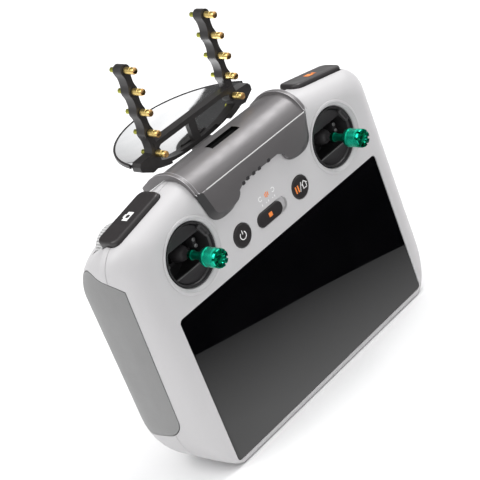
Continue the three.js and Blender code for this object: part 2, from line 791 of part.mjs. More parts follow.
const FINISHES = {
  shell: { color: 0xd9d8da, roughness: 0.45, metalness: 0 },
  gripRubber: { color: 0xa6a6a6, roughness: 0.7, metalness: 0 },
  glass: { color: 0x0a0a0c, roughness: 0.06, metalness: 0 },
  blackPlastic: { color: 0x1b1b1c, roughness: 0.55, metalness: 0 },
  buttonPlastic: { color: 0x343233, roughness: 0.4, metalness: 0 },
  dialPlastic: { color: 0xb9b8b8, roughness: 0.5, metalness: 0 },
  clipPlastic: { color: 0x6b696b, roughness: 0.35, metalness: 0 },
  framePlastic: { color: 0x1e1c1d, roughness: 0.5, metalness: 0 },
  stickMetal: { color: 0x0b8f68, roughness: 0.3, metalness: 0.9 },
  rodBrass: { color: 0xc9a648, roughness: 0.25, metalness: 1 },
  mirror: { color: 0xe8e8ea, roughness: 0.05, metalness: 1 },
  board: { color: 0x1f5a3a, roughness: 0.6, metalness: 0 },
  frameMetal: { color: 0x9c9ea1, roughness: 0.4, metalness: 0.9 },
  cellWrap: { color: 0x2b5fa8, roughness: 0.5, metalness: 0 },
};

function makeMesh(name, solid, finish) {
  const mesh = new THREE.Mesh(toGeometry(solid), new THREE.MeshStandardMaterial(FINISHES[finish]));
  mesh.name = name;
  return mesh;
}

// Adds a piece drawn on the right and its mirror image on the left.
function addPair(group, stem, solid, finish) {
  group.add(makeMesh(`${stem}_left`, mirrored(solid), finish));
  group.add(makeMesh(`${stem}_right`, solid, finish));
}

function controllerBody() {
  const group = new THREE.Group();
  group.add(makeMesh('front_shell', frontShell(), 'shell'));
  group.add(makeMesh('rear_shell', rearShell(), 'shell'));
  group.add(makeMesh('display_glass', displayGlass(), 'glass'));
  group.add(makeMesh('display_panel', displayPanel(), 'blackPlastic'));
  group.add(makeMesh('mid_frame', midFrame(), 'frameMetal'));
  group.add(makeMesh('main_board', mainBoard(), 'board'));
  group.add(makeMesh('heat_sink', heatSink(), 'frameMetal'));
  group.add(makeMesh('cooling_fan', coolingFan(), 'blackPlastic'));
  group.add(makeMesh('speaker', speaker(), 'blackPlastic'));
  group.add(makeMesh('charge_port', chargePort(), 'frameMetal'));
  addPair(group, 'battery_cell', batteryCell(), 'cellWrap');
  addPair(group, 'grip_pad', gripPad(), 'gripRubber');
  addPair(group, 'screw_low', screw(SCREW.x, SCREW.lowZ), 'frameMetal');
  addPair(group, 'screw_high', screw(SCREW.x, SCREW.highZ), 'frameMetal');
  return group;
}

function controls() {
  const group = new THREE.Group();
  addPair(group, 'gimbal_housing', gimbalHousing(), 'blackPlastic');
  addPair(group, 'gimbal_yoke', gimbalYoke(), 'blackPlastic');
  addPair(group, 'stick_shaft', stickShaft(), 'blackPlastic');
  addPair(group, 'stick_cap', stickCap(), 'stickMetal');
  addPair(group, 'dial', dialWheel(), 'dialPlastic');
  addPair(group, 'rear_button', rearButton(), 'buttonPlastic');
  const shoulderButton = shoulderBlock(0, SHOULDER_BUTTON.rise, SHOULDER_BUTTON.root);
  group.add(makeMesh('photo_button', mirrored(shoulderButton), 'buttonPlastic'));
  group.add(makeMesh('record_button', shoulderButton, 'buttonPlastic'));
  group.add(makeMesh('power_button', roundButton(ROUND_BUTTON.powerX), 'buttonPlastic'));
  group.add(makeMesh('home_button', roundButton(ROUND_BUTTON.homeX), 'buttonPlastic'));
  group.add(makeMesh('mode_switch', modeSwitch(), 'buttonPlastic'));
  return group;
}

// The frame, rods and reflector lean together about a line across the booster.
function boosterHead() {
  const lean = new THREE.Group();
  lean.position.set(0, BOOSTER_PIVOT.y, BOOSTER_PIVOT.z);
  lean.rotation.x = BOOSTER_TILT;
  const inner = new THREE.Group();
  inner.position.set(0, -BOOSTER_PIVOT.y, -BOOSTER_PIVOT.z);
  inner.add(makeMesh('booster_frame', boosterFrame(), 'framePlastic'));
  inner.add(makeMesh('reflector_dish', reflectorDish(), 'mirror'));
  inner.add(makeMesh('reflector_rim', reflectorRim(), 'framePlastic'));
  rodPlaces().forEach((place, k) => {
    const side = place.x < 0 ? 'left' : 'right';
    inner.add(makeMesh(`rod_${side}_${(k % ROD_COUNT) + 1}`, rod(place), 'rodBrass'));
  });
  lean.add(inner);
  return lean;
}

const controller = new THREE.Group();
controller.add(controllerBody());
controller.add(controls());
controller.add(makeMesh('clip_saddle', clipSaddle(), 'clipPlastic'));
controller.add(boosterHead());
controller.position.y = (STICK.reach - DISH.centreY - RIM.outer) / 2;
controller.updateMatrixWorld(true);

export default controller;
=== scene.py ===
import math

import bmesh
import bpy
from mathutils import Matrix, Vector

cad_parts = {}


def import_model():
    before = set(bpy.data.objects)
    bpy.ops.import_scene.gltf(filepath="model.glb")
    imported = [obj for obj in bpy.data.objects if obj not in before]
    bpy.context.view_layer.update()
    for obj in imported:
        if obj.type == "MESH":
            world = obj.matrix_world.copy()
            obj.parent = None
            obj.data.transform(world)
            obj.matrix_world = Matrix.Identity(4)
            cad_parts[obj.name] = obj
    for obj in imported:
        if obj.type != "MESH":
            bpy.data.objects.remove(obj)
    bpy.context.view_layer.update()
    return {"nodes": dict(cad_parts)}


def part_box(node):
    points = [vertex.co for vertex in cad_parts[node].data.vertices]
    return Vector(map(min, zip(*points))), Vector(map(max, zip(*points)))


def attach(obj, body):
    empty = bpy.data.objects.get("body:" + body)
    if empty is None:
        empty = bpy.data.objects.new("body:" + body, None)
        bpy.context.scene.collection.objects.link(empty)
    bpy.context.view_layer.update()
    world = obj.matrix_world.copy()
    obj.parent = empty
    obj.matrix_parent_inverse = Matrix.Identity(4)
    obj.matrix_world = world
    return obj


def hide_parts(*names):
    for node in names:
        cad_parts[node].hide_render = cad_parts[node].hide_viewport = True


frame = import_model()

# ---------------------------------------------------------------- driving sizes, in metres

MM = 0.001
GLASS_SINK = 0.15 * MM
FACE_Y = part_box("display_glass")[0][1] - GLASS_SINK
BODY_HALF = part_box("grip_pad_right")[1][0]
BODY_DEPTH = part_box("rear_shell")[1][1] - FACE_Y
BODY_TOP = 121.2 * MM
WALL = 3.4 * MM
SEAM_DEPTH = 12 * MM
SEAM_GAP = 0.14 * MM

FACE_HALF = 67.6 * MM
FACE_TOP = 111.5 * MM
FACE_BOTTOM = 1.2 * MM
SIDE_ROUND = 18 * MM
TOP_ROUND = 10 * MM
BOTTOM_ROUND = 3 * MM
TOP_FALL_START = 14.5 * MM
TOP_FALL_SLOPE = 0.48
REAR_ROUND_START = 24 * MM
REAR_HALF = 54 * MM
REAR_BOTTOM = 10 * MM
SHOULDER_X = 38 * MM
SHOULDER_SLOPE = 0.19
SHOULDER_BEND = 30 * MM
FACE_CORNER = (3 * MM, 9 * MM)
WIDEST_CORNER = (30 * MM, 14 * MM)
BACK_PANEL = 31 * MM
TROUGH_HALF = 29 * MM
TROUGH_FLARE = 7 * MM

WELL_X, WELL_Z = 48 * MM, 94.3 * MM
WELL_RADIUS = 13.8 * MM
RIM_RADIUS = 16.4 * MM
RIM_RISE = 0.45 * MM
WELL_MIDDLE = Vector((WELL_X, FACE_Y, WELL_Z))
PIVOT_DEPTH = 10 * MM
COVER_DEPTH = 2.4 * MM
COVER_EDGE = 6.2 * MM

SCREEN_Z = 38.7 * MM
BUTTON_Z = 86.5 * MM
POWER_X, HOME_X = -20.6 * MM, 18.6 * MM
SWITCH_X, SWITCH_Z = -2.6 * MM, 85.8 * MM
SHOULDER_BUTTON = (31 * MM, 12.2 * MM, 3.4 * MM)
SHOULDER_BUTTON_X, SHOULDER_BUTTON_DEPTH = 59.5 * MM, 14.6 * MM
REAR_BUTTON_X, REAR_BUTTON_Z = 46 * MM, 90 * MM
DIAL_X, DIAL_Z = 61 * MM, 103.8 * MM
DIAL_RADIUS = 10.2 * MM
SCREW_X = 43.5 * MM
SCREW_LEVELS = {"low": 30 * MM, "high": 69 * MM}

ROD_X, ROD_LOW, ROD_PITCH = 25 * MM, 127.3 * MM, 9.66 * MM
ROD_HEIGHTS = [ROD_LOW + ROD_PITCH * k for k in range(5)]
BOSS_RADIUS = 2.6 * MM
WAIST_HALF = 1.6 * MM
DISH_DEPTH = 26.8 * MM
BOOSTER_TILT = math.radians(2.5)
BOOSTER_PIVOT = Vector((0, FACE_Y + 27.5 * MM, 127.6 * MM))

# The saddle, the frame and the mirror are drawn in millimetres.
SADDLE_HALF, RIB_WIDTH, RIB_RISE = 36.5, 2.1, 1.4
FRAME_FRONT, FRAME_REAR = 26.9, 31.9
DISH_INNER, DISH_SPAN, DISH_EDGE, DISH_FALL = 10, 26.4, 127.6, 8


def at(x, depth, z):
    """A point from millimetres: to the right, behind the screen face, and up."""
    return Vector((x * MM, FACE_Y + depth * MM, z * MM))


# ---------------------------------------------------------------- mesh helpers

def link(name, mesh):
    piece = bpy.data.objects.new(name, mesh)
    bpy.context.scene.collection.objects.link(piece)
    return piece


def from_faces(name, points, faces):
    mesh = bpy.data.meshes.new(name)
    mesh.from_pydata([tuple(p) for p in points], [], faces)
    mesh.update()
    return link(name, mesh)


def loft(name, rings):
    """A closed solid through rings of equally many points, with a flat cap at each end."""
    count = len(rings[0])
    points = [p for ring in rings for p in ring]
    faces = [tuple(reversed(range(count)))]
    for row in range(len(rings) - 1):
        for k in range(count):
            a = row * count + k
            b = row * count + (k + 1) % count
            faces.append((a, b, b + count, a + count))
    last = (len(rings) - 1) * count
    faces.append(tuple(range(last, last + count)))
    piece = from_faces(name, points, faces)
    outward(piece)
    return piece


def outward(piece):
    work = bmesh.new()
    work.from_mesh(piece.data)
    bmesh.ops.recalc_face_normals(work, faces=work.faces)
    work.to_mesh(piece.data)
    work.free()


def prism(name, outline, start, run):
    """A solid from an outline of points in space, pushed along a vector."""
    first = [Vector(p) + start for p in outline]
    return loft(name, [first, [p + run for p in first]])


def plate(name, outline, y0, y1):
    """A solid from an outline of (x, z) in metres, between two values of Y."""
    return prism(name, [Vector((x, 0, z)) for x, z in outline], Vector((0, y0, 0)), Vector((0, y1 - y0, 0)))


def block(name, low, high):
    outline = [(low[0], low[2]), (high[0], low[2]), (high[0], high[2]), (low[0], high[2])]
    return plate(name, outline, low[1], high[1])


def rounded(width, height, radius, x=0.0, z=0.0, steps=8):
    """The outline of a rectangle with round corners, as (x, z) pairs."""
    outline = []
    for turn, (sx, sz) in enumerate(((1, 1), (-1, 1), (-1, -1), (1, -1))):
        for k in range(steps + 1):
            angle = (turn + k / steps) * math.pi / 2
            outline.append((
                x + sx * (width / 2 - radius) + radius * math.cos(angle),
                z + sz * (height / 2 - radius) + radius * math.sin(angle),
            ))
    return outline


def circle(radius, x=0.0, z=0.0, steps=64):
    angles = [2 * math.pi * k / steps for k in range(steps)]
    return [(x + radius * math.cos(a), z + radius * math.sin(a)) for a in angles]


def turned(name, profile, centre, steps=64, axis="Y"):
    """A closed solid of revolution. The profile holds (radius, place along the axis) pairs, end to end."""
    rings = []
    for radius, along in profile:
        radius = max(radius, 0.01 * MM)
        angles = [2 * math.pi * k / steps for k in range(steps)]
        if axis == "Y":
            ring = [Vector((radius * math.cos(a), along, radius * math.sin(a))) for a in angles]
        else:
            ring = [Vector((radius * math.cos(a), radius * math.sin(a), along)) for a in angles]
        rings.append([centre + p for p in ring])
    return loft(name, rings)


def carve(piece, tools, operation="DIFFERENCE"):
    """Cuts tools out of a piece, or keeps only what they share, and removes the tools."""
    for tool in tools:
        modifier = piece.modifiers.new("cut", "BOOLEAN")
        modifier.operation = operation
        modifier.solver = "MANIFOLD"
        modifier.object = tool
        apply_modifiers(piece)
        bpy.data.objects.remove(tool)
    return piece


def join(piece, others):
    return carve(piece, others, "UNION")


def apply_modifiers(piece):
    graph = bpy.context.evaluated_depsgraph_get()
    mesh = bpy.data.meshes.new_from_object(piece.evaluated_get(graph))
    piece.modifiers.clear()
    old = piece.data
    piece.data = mesh
    bpy.data.meshes.remove(old)


def bevel(piece, width, segments=2, angle=35):
    modifier = piece.modifiers.new("bevel", "BEVEL")
    modifier.width = width
    modifier.segments = segments
    modifier.limit_method = "ANGLE"
    modifier.angle_limit = math.radians(angle)
    modifier.use_clamp_overlap = True
    apply_modifiers(piece)
    return piece


def smooth(piece, angle=32):
    work = bmesh.new()
    work.from_mesh(piece.data)
    bmesh.ops.remove_doubles(work, verts=work.verts, dist=0.004 * MM)
    bmesh.ops.dissolve_degenerate(work, edges=work.edges, dist=0.002 * MM)
    for face in work.faces:
        face.smooth = True
    limit = math.radians(angle)
    for edge in work.edges:
        edge.smooth = len(edge.link_faces) != 2 or edge.calc_face_angle(0) < limit
    work.to_mesh(piece.data)
    work.free()
    return piece


def mirrored(piece, name):
    """A copy of a piece on the other side of the middle."""
    other = moved_copy(piece, name, Matrix.Scale(-1, 4, Vector((1, 0, 0))))
    outward(other)
    return other


def moved_copy(piece, name, move):
    other = piece.copy()
    other.data = piece.data.copy()
    other.name = name
    bpy.context.scene.collection.objects.link(other)
    other.data.transform(move)
    return other


def in_mm(pairs):
    """Turns pairs of millimetres into metres."""
    return [(a * MM, b * MM) for a, b in pairs]


def lean(piece):
    """Turns a piece drawn upright to the booster's lean."""
    turn = Matrix.Rotation(BOOSTER_TILT, 4, "X")
    piece.data.transform(Matrix.Translation(BOOSTER_PIVOT) @ turn @ Matrix.Translation(-BOOSTER_PIVOT))
    return piece


def finish_piece(piece, material, body, stands_for=()):
    """Gives a piece its material and its body, and hides the CAD nodes that it stands for."""
    piece.data.materials.clear()
    piece.data.materials.append(material)
    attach(piece, body)
    if stands_for:
        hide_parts(*stands_for)
    return piece


def paint(piece, material, chosen):
    """Gives a second material to the faces whose centre, in drawn millimetres, and normal are chosen."""
    piece.data.materials.append(material)
    for face in piece.data.polygons:
        x, y, z = face.center
        if chosen(x / MM, (y - FACE_Y) / MM, z / MM, face.normal):
            face.material_index = len(piece.data.materials) - 1


# ---------------------------------------------------------------- the body's outer form

def swing(depth, round_depth, grow):
    """How far a rounded edge has swung out: 0 on the flat face, 1 where the round ends."""
    left = 1 - min(1, max(0, (depth + grow) / (round_depth + grow)))
    return math.sqrt(1 - left * left)


def round_corners(corners):
    """An outline from (point, radius, steps) corners, each turned into an arc tangent to its two edges."""
    outline = []
    for k, (corner, radius, steps) in enumerate(corners):
        if radius == 0:
            outline.append(corner.copy())
            continue
        inward = (corners[k - 1][0] - corner).normalized()
        outward_edge = (corners[(k + 1) % len(corners)][0] - corner).normalized()
        half_angle = inward.angle(outward_edge) / 2
        centre = corner + (inward + outward_edge).normalized() * radius / math.sin(half_angle)
        start = corner + inward * radius / math.tan(half_angle) - centre
        end = corner + outward_edge * radius / math.tan(half_angle) - centre
        turn = math.atan2(start.x * end.y - start.y * end.x, start.dot(end))
        for step in range(steps + 1):
            angle = turn * step / steps
            outline.append(centre + Vector((
                start.x * math.cos(angle) - start.y * math.sin(angle),
                start.x * math.sin(angle) + start.y * math.cos(angle),
            )))
    return outline


def body_ring(depth, grow):
    side = swing(depth, SIDE_ROUND, grow)
    along = max(0, (depth - REAR_ROUND_START) / (BODY_DEPTH + grow - REAR_ROUND_START))
    closed = 1 - math.sqrt(max(0, 1 - along * along))
    half = FACE_HALF + (BODY_HALF - FACE_HALF + grow) * side - (BODY_HALF - REAR_HALF + grow) * closed
    fall = max(0, depth - TOP_FALL_START) * TOP_FALL_SLOPE
    top = FACE_TOP + (BODY_TOP - FACE_TOP + grow) * swing(depth, TOP_ROUND, grow) - fall
    bottom = FACE_BOTTOM - (FACE_BOTTOM + grow) * swing(depth, BOTTOM_ROUND, grow) + REAR_BOTTOM * closed
    low = FACE_CORNER[0] + (WIDEST_CORNER[0] - FACE_CORNER[0]) * side
    high = FACE_CORNER[1] + (WIDEST_CORNER[1] - FACE_CORNER[1]) * side
    shoulder = top - SHOULDER_SLOPE * (half - SHOULDER_X)
    outline = round_corners([
        (Vector((half, bottom)), low, 14),
        (Vector((half, shoulder)), high, 10),
        (Vector((SHOULDER_X, top)), SHOULDER_BEND, 3),
        (Vector((-SHOULDER_X, top)), SHOULDER_BEND, 3),
        (Vector((-half, shoulder)), high, 10),
        (Vector((-half, bottom)), low, 14),
    ])
    return [Vector((p.x, FACE_Y + depth, p.y)) for p in outline]


def body_form(name, grow=0.0):
    """The whole body grown by a distance all round, as one smooth closed solid with its rear hollow."""
    front_steps, rear_steps = 16, 12
    depths = [TOP_FALL_START, (SIDE_ROUND + REAR_ROUND_START) / 2]
    for k in range(front_steps + 1):
        depths.append(-grow + (SIDE_ROUND + grow) * (1 - math.cos(math.pi / 2 * k / front_steps)))
    for k in range(rear_steps + 1):
        rear = BODY_DEPTH + grow - REAR_ROUND_START
        depths.append(REAR_ROUND_START + rear * math.sin(math.pi / 2 * k / rear_steps))
    body = loft(name, [body_ring(depth, grow) for depth in sorted(depths)])
    return carve(body, [rear_hollow(-grow)])


def rear_hollow(grow):
    """The space between the two rear grips, which widens towards the back."""
    half = TROUGH_HALF + grow
    floor = BACK_PANEL - grow
    rear = BODY_DEPTH + 10 * MM
    flare = TROUGH_FLARE * (rear - floor) / (BODY_DEPTH - BACK_PANEL)
    corner = 3 * MM
    outline = round_corners([
        (Vector((-half, floor)), corner, 6),
        (Vector((half, floor)), corner, 6),
        (Vector((half + flare, rear)), 0, 0),
        (Vector((-half - flare, rear)), 0, 0),
    ])
    points = [Vector((p.x, FACE_Y + p.y, 0)) for p in outline]
    return prism("rear_hollow", points, Vector((0, 0, -0.05)), Vector((0, 0, 0.25)))


# ---------------------------------------------------------------- materials

class Surface:
    """A material and the nodes that feed its shader."""

    def __init__(self, name):
        self.material = bpy.data.materials.new(name)
        self.material.use_nodes = True
        self.nodes = self.material.node_tree.nodes
        self.link = self.material.node_tree.links.new
        self.shader = self.nodes["Principled BSDF"]

    def set_inputs(self, **values):
        """Sets the shader's own sockets. Words in a name are joined by underscores."""
        for name, value in values.items():
            self.shader.inputs[name.replace("_", " ")].default_value = value

    def node(self, kind, **values):
        node = self.nodes.new(kind)
        for name, value in values.items():
            node.inputs[name.replace("_", " ")].default_value = value
        return node

    def noise(self, scale, detail=2.0, stretch=(1, 1, 1)):
        """Noise in the piece's own space. The scale is in features per metre."""
        coords = self.node("ShaderNodeTexCoord")
        mapping = self.node("ShaderNodeMapping", Scale=stretch)
        texture = self.node("ShaderNodeTexNoise", Scale=scale, Detail=detail)
        self.link(coords.outputs["Object"], mapping.inputs["Vector"])
        self.link(mapping.outputs["Vector"], texture.inputs["Vector"])
        return texture.outputs["Fac"]

    def gloss(self, value, low, high):
        spread = self.node("ShaderNodeMapRange", From_Min=0.3, From_Max=0.7, To_Min=low, To_Max=high)
        self.link(value, spread.inputs["Value"])
        self.link(spread.outputs["Result"], self.shader.inputs["Roughness"])

    def tone(self, value, dark, light):
        ramp = self.node("ShaderNodeValToRGB")
        for element, position, color in zip(ramp.color_ramp.elements, (0.32, 0.68), (dark, light)):
            element.position = position
            element.color = (*color, 1)
        self.link(value, ramp.inputs["Fac"])
        self.link(ramp.outputs["Color"], self.shader.inputs["Base Color"])

    def tone_around(self, value, color, change):
        self.tone(value, tinted(color, 1 - change), tinted(color, 1 + change))

    def relief(self, value, height, edge=0.0):
        """Bumps of a height in metres, over edges softened by a radius in metres."""
        bump = self.node("ShaderNodeBump", Strength=1.0, Distance=height)
        self.link(value, bump.inputs["Height"])
        if edge:
            round_edge = self.node("ShaderNodeBevel", Radius=edge)
            round_edge.samples = 4
            self.link(round_edge.outputs["Normal"], bump.inputs["Normal"])
        self.link(bump.outputs["Normal"], self.shader.inputs["Normal"])


def tinted(color, factor):
    return tuple(min(1.0, channel * factor) for channel in color)


def plastic(name, color, roughness, grain=1600, height=0.004 * MM, edge=0.25 * MM, patch=0.05,
            metallic=0.0, specular=0.5):
    """Moulded plastic: a fine eroded grain, slow changes of tone and worn, softened edges."""
    surface = Surface(name)
    surface.set_inputs(Metallic=metallic, Specular_IOR_Level=specular)
    surface.tone_around(surface.noise(22), color, patch)
    surface.gloss(surface.noise(260, 4), roughness - 0.05, roughness + 0.05)
    surface.relief(surface.noise(grain, 3), height, edge)
    return surface.material


def fine_plastic(name, color, roughness, edge=0, **rest):
    """Plastic with a grain too coarse and shallow to sparkle in a small picture."""
    return plastic(name, color, roughness, grain=700, height=0.001 * MM, edge=edge, **rest)


def metal(name, color, roughness, streak=(1, 60, 1), grain=500, patch=0.12, height=0.003 * MM):
    """Turned or brushed metal: fine streaks that run with the tool, and slight tarnish."""
    surface = Surface(name)
    surface.set_inputs(Metallic=1.0)
    surface.tone_around(surface.noise(180, 3), color, patch)
    streaks = surface.noise(grain, 2, streak)
    surface.gloss(streaks, roughness - 0.06, roughness + 0.08)
    surface.relief(streaks, height, 0.12 * MM)
    return surface.material


def rubber(name, color):
    """Grip rubber: a fine cell pattern over a slow change of tone, with a little sheen."""
    surface = Surface(name)
    surface.set_inputs(Sheen_Weight=0.15, Sheen_Roughness=0.5, Specular_IOR_Level=0.3)
    surface.tone(surface.noise(30), tinted(color, 0.94), tinted(color, 1.06))
    surface.gloss(surface.noise(300), 0.62, 0.74)
    coords = surface.node("ShaderNodeTexCoord")
    cells = surface.node("ShaderNodeTexVoronoi", Scale=1100)
    surface.link(coords.outputs["Object"], cells.inputs["Vector"])
    surface.relief(cells.outputs["Distance"], 0.02 * MM, 0.3 * MM)
    return surface.material


def screen_glass(name):
    """Polished glass over a switched-off panel, with the faintest haze of finger marks."""
    surface = Surface(name)
    surface.set_inputs(IOR=1.52)
    haze = surface.noise(45, 5)
    surface.tone(haze, (0.0012, 0.0012, 0.0016), (0.0022, 0.0021, 0.0026))
    surface.gloss(haze, 0.015, 0.05)
    surface.relief(surface.noise(9), 0.002 * MM, 0.15 * MM)
    return surface.material


def mirror_metal(name):
    """Polished reflector: bright, with faint swirl marks from wiping."""
    surface = Surface(name)
    surface.set_inputs(Metallic=1.0)
    marks = surface.noise(70, 6, (1, 3, 1))
    surface.tone(marks, (0.86, 0.87, 0.88), (0.93, 0.93, 0.94))
    surface.gloss(marks, 0.03, 0.09)
    surface.relief(surface.noise(28, 2), 0.01 * MM)
    return surface.material


def ink(name, color):
    """Printed ink: near flat, with the slight unevenness of a pad print."""
    surface = Surface(name)
    surface.tone(surface.noise(2600, 2), tinted(color, 0.92), tinted(color, 1.04))
    surface.gloss(surface.noise(1500), 0.42, 0.52)
    return surface.material


def circuit_board(name):
    """Green solder mask with lighter tracks showing through."""
    surface = Surface(name)
    coords = surface.node("ShaderNodeTexCoord")
    tracks = surface.node(
        "ShaderNodeTexBrick", Scale=320, Color1=(0.008, 0.075, 0.03, 1),
        Color2=(0.012, 0.10, 0.04, 1), Mortar=(0.05, 0.24, 0.10, 1),
    )
    surface.link(coords.outputs["Object"], tracks.inputs["Vector"])
    surface.link(tracks.outputs["Color"], surface.shader.inputs["Base Color"])
    surface.gloss(surface.noise(400), 0.3, 0.45)
    surface.relief(tracks.outputs["Fac"], 0.03 * MM)
    return surface.material


SHELL = plastic("shell_plastic", (0.52, 0.512, 0.52), 0.42, patch=0.012, edge=0.4 * MM)
PAD_RUBBER = rubber("grip_rubber", (0.24, 0.24, 0.24))
GLASS = screen_glass("screen_glass")
INNER_BLACK = plastic("inner_black", (0.03, 0.03, 0.03), 0.6)
GIMBAL_BLACK = plastic("gimbal_black", (0.032, 0.030, 0.032), 0.40, grain=900, edge=0.2 * MM)
GIMBAL_COVER = plastic("gimbal_cover", (0.030, 0.028, 0.030), 0.40, grain=900, edge=0.2 * MM)
BUTTON_DARK = plastic("button_dark", (0.026, 0.023, 0.024), 0.38, grain=2200, edge=0.2 * MM)
DIAL_PLASTIC = plastic("dial_plastic", (0.56, 0.56, 0.56), 0.45)
CLIP_PLASTIC = fine_plastic("clip_plastic", (0.145, 0.138, 0.141), 0.37, metallic=0.35)
# Dark grey for the saddle's teeth; on the lobes' chamfer bands it is painted shade, darker because they
# face away from the light.
CLIP_DARK_AND_PAINTED_SHADE = fine_plastic("clip_dark_and_painted_shade", (0.034, 0.032, 0.034), 0.34)
# A lighter grey on the upward face of the lower cover's edge: a painted highlight where it faces the light.
PAINTED_EDGE_HIGHLIGHT = fine_plastic("painted_edge_highlight", (0.13, 0.13, 0.13), 0.30)
# Lighter grey for the strips along the ribs: a painted highlight.
RIB_PAINTED_HIGHLIGHT = fine_plastic("rib_painted_highlight", (0.30, 0.29, 0.30), 0.30)
# Near black with its reflection turned down: painted shade inside the slot.
SLOT_PAINTED_SHADE = plastic("slot_painted_shade", (0.003, 0.003, 0.003), 0.8, edge=0, specular=0.05)
# Light grey for the strip along the crease: a painted highlight.
CREASE_PAINTED_HIGHLIGHT = plastic("crease_painted_highlight", (0.60, 0.60, 0.60), 0.25, grain=2600, height=0.001 * MM)
FRAME_BLACK = fine_plastic("frame_black", (0.027, 0.025, 0.025), 0.33)
STEEL = metal("steel", (0.60, 0.60, 0.61), 0.45)
BRACKET_GREY = fine_plastic("bracket_grey", (0.060, 0.058, 0.060), 0.35, edge=0.25 * MM)
INNER_METAL = metal("inner_metal", (0.52, 0.53, 0.55), 0.40, streak=(60, 1, 1))
STICK_GREEN = metal("stick_green", (0.012, 0.52, 0.33), 0.28, patch=0.06, height=0.001 * MM)
# A darker green for the stick's neck and foot: painted shade down in the well.
NECK_PAINTED_SHADE = metal("neck_painted_shade", (0.0, 0.16, 0.09), 0.35, patch=0.06, height=0.001 * MM)
BRASS = metal("rod_brass", (0.80, 0.60, 0.22), 0.30, grain=260, patch=0.05, height=0.0003 * MM)
TAIL_BRASS = metal("tail_brass", (0.42, 0.42, 0.08), 0.34, grain=260, patch=0.05, height=0.0003 * MM)
TIP_COPPER = metal("tip_copper", (0.82, 0.50, 0.20), 0.30, grain=260, patch=0.05, height=0.0003 * MM)
MIRROR = mirror_metal("reflector_mirror")
BOARD = circuit_board("board_green")
CELL_WRAP = plastic("cell_wrap", (0.05, 0.12, 0.35), 0.3, grain=500)
WHITE_INK = ink("white_ink", (0.80, 0.80, 0.80))
ORANGE_INK = ink("orange_ink", (0.90, 0.24, 0.03))


# ---------------------------------------------------------------- front and rear shells

def both_sides(make):
    """The tools that a function makes for the right side and for the left."""
    return [make(1), make(-1)]


def pad_edge(shrink, side):
    """The grip pad's edge seen from the side, as a prism that reaches outward from inside the shell."""
    front = 6.8 * MM + shrink
    low = 26.5 * MM + shrink
    top = -shrink
    outline = [Vector((front, 97 * MM + top)), Vector((front + 1.4 * MM, low + 6 * MM))]
    outline += curve(outline[-1], (front + 2 * MM, low), (front + 8 * MM, low - 0.5 * MM))
    outline += [
        Vector((60 * MM, low - 6 * MM)),
        Vector((60 * MM, 78 * MM + top)),
        Vector((43 * MM, 80 * MM + top)),
        Vector((36 * MM, 98 * MM + top)),
    ]
    outline += curve(outline[-1], (30 * MM, 106 * MM + top), (22 * MM, 105 * MM + top))
    outline += curve(outline[-1], (12 * MM, 103.5 * MM + top), (front, 97 * MM + top))[:-1]
    points = [Vector((0, FACE_Y + depth, z)) for depth, z in outline]
    return prism("pad_edge", points, Vector((side * 46 * MM, 0, 0)), Vector((side * 60 * MM, 0, 0)))


def curve(start, control, end, steps=8):
    """Points after the start along a quadratic curve."""
    control, end = Vector(control), Vector(end)
    points = []
    for k in range(1, steps + 1):
        t = k / steps
        points.append(start * (1 - t) ** 2 + control * 2 * t * (1 - t) + end * t * t)
    return points


def pad_pocket(side):
    pocket = pad_edge(0, side)
    return carve(pocket, [body_form("core", -1.75 * MM)])


def shoulder_cuts():
    """The hole for each shoulder button: a block with round corners, square to the sloping shoulder."""
    width, height, radius = SHOULDER_BUTTON
    spare = 0.4 * MM
    outline = rounded(width + 2 * spare, height + 2 * spare, radius + spare)
    cuts = []
    for side in (1, -1):
        rings = [[on_shoulder(side, *point, rise) for point in outline] for rise in (-12 * MM, 20 * MM)]
        cuts.append(loft("shoulder", rings))
    return cuts


def on_shoulder(side, across, along, height):
    """A point on the shoulder button: outward across it, towards the rear, and above the shoulder."""
    z0 = BODY_TOP - SHOULDER_SLOPE * (SHOULDER_BUTTON_X - SHOULDER_X)
    tilt = math.atan(SHOULDER_SLOPE)
    x = SHOULDER_BUTTON_X + across * math.cos(tilt) + height * math.sin(tilt)
    z = z0 - across * math.sin(tilt) + height * math.cos(tilt)
    return Vector((side * x, FACE_Y + SHOULDER_BUTTON_DEPTH + along, z))


def well_cut(side):
    profile = [
        (RIM_RADIUS - 1.1 * MM, -3 * MM),
        (RIM_RADIUS - 1.1 * MM, -0.35 * MM),
        (WELL_RADIUS + 0.5 * MM, 0.5 * MM),
        (WELL_RADIUS, 1.3 * MM),
        (WELL_RADIUS, 10 * MM),
    ]
    return turned("well_cut", profile, Vector((side * WELL_X, FACE_Y, WELL_Z)), 96)


def well_rim(side):
    """The raised ring round a well, with a soft step on its outer side."""
    profile = [
        (RIM_RADIUS - 0.5 * MM, -RIM_RISE),
        (RIM_RADIUS - 0.1 * MM, -RIM_RISE + 0.12 * MM),
        (RIM_RADIUS, 0.1 * MM),
        (RIM_RADIUS, 1 * MM),
    ]
    return turned("well_rim", profile, Vector((side * WELL_X, FACE_Y, WELL_Z)), 96)


def rear_button_hole(side):
    outline = rounded(9.6 * MM, 6 * MM, 2.4 * MM, side * REAR_BUTTON_X, REAR_BUTTON_Z)
    return plate("rear_button_hole", outline, FACE_Y + BODY_DEPTH - 8 * MM, FACE_Y + 0.06)


def dial_slot(side):
    x, half = side * DIAL_X, DIAL_RADIUS + 0.8 * MM
    low = (x - half, FACE_Y + 24 * MM, DIAL_Z - 12 * MM)
    return block("dial_slot", low, (x + half, FACE_Y + 31.2 * MM, 0.2))


def shell_skin(name):
    return carve(body_form(name), [body_form("hollow", -WALL)])


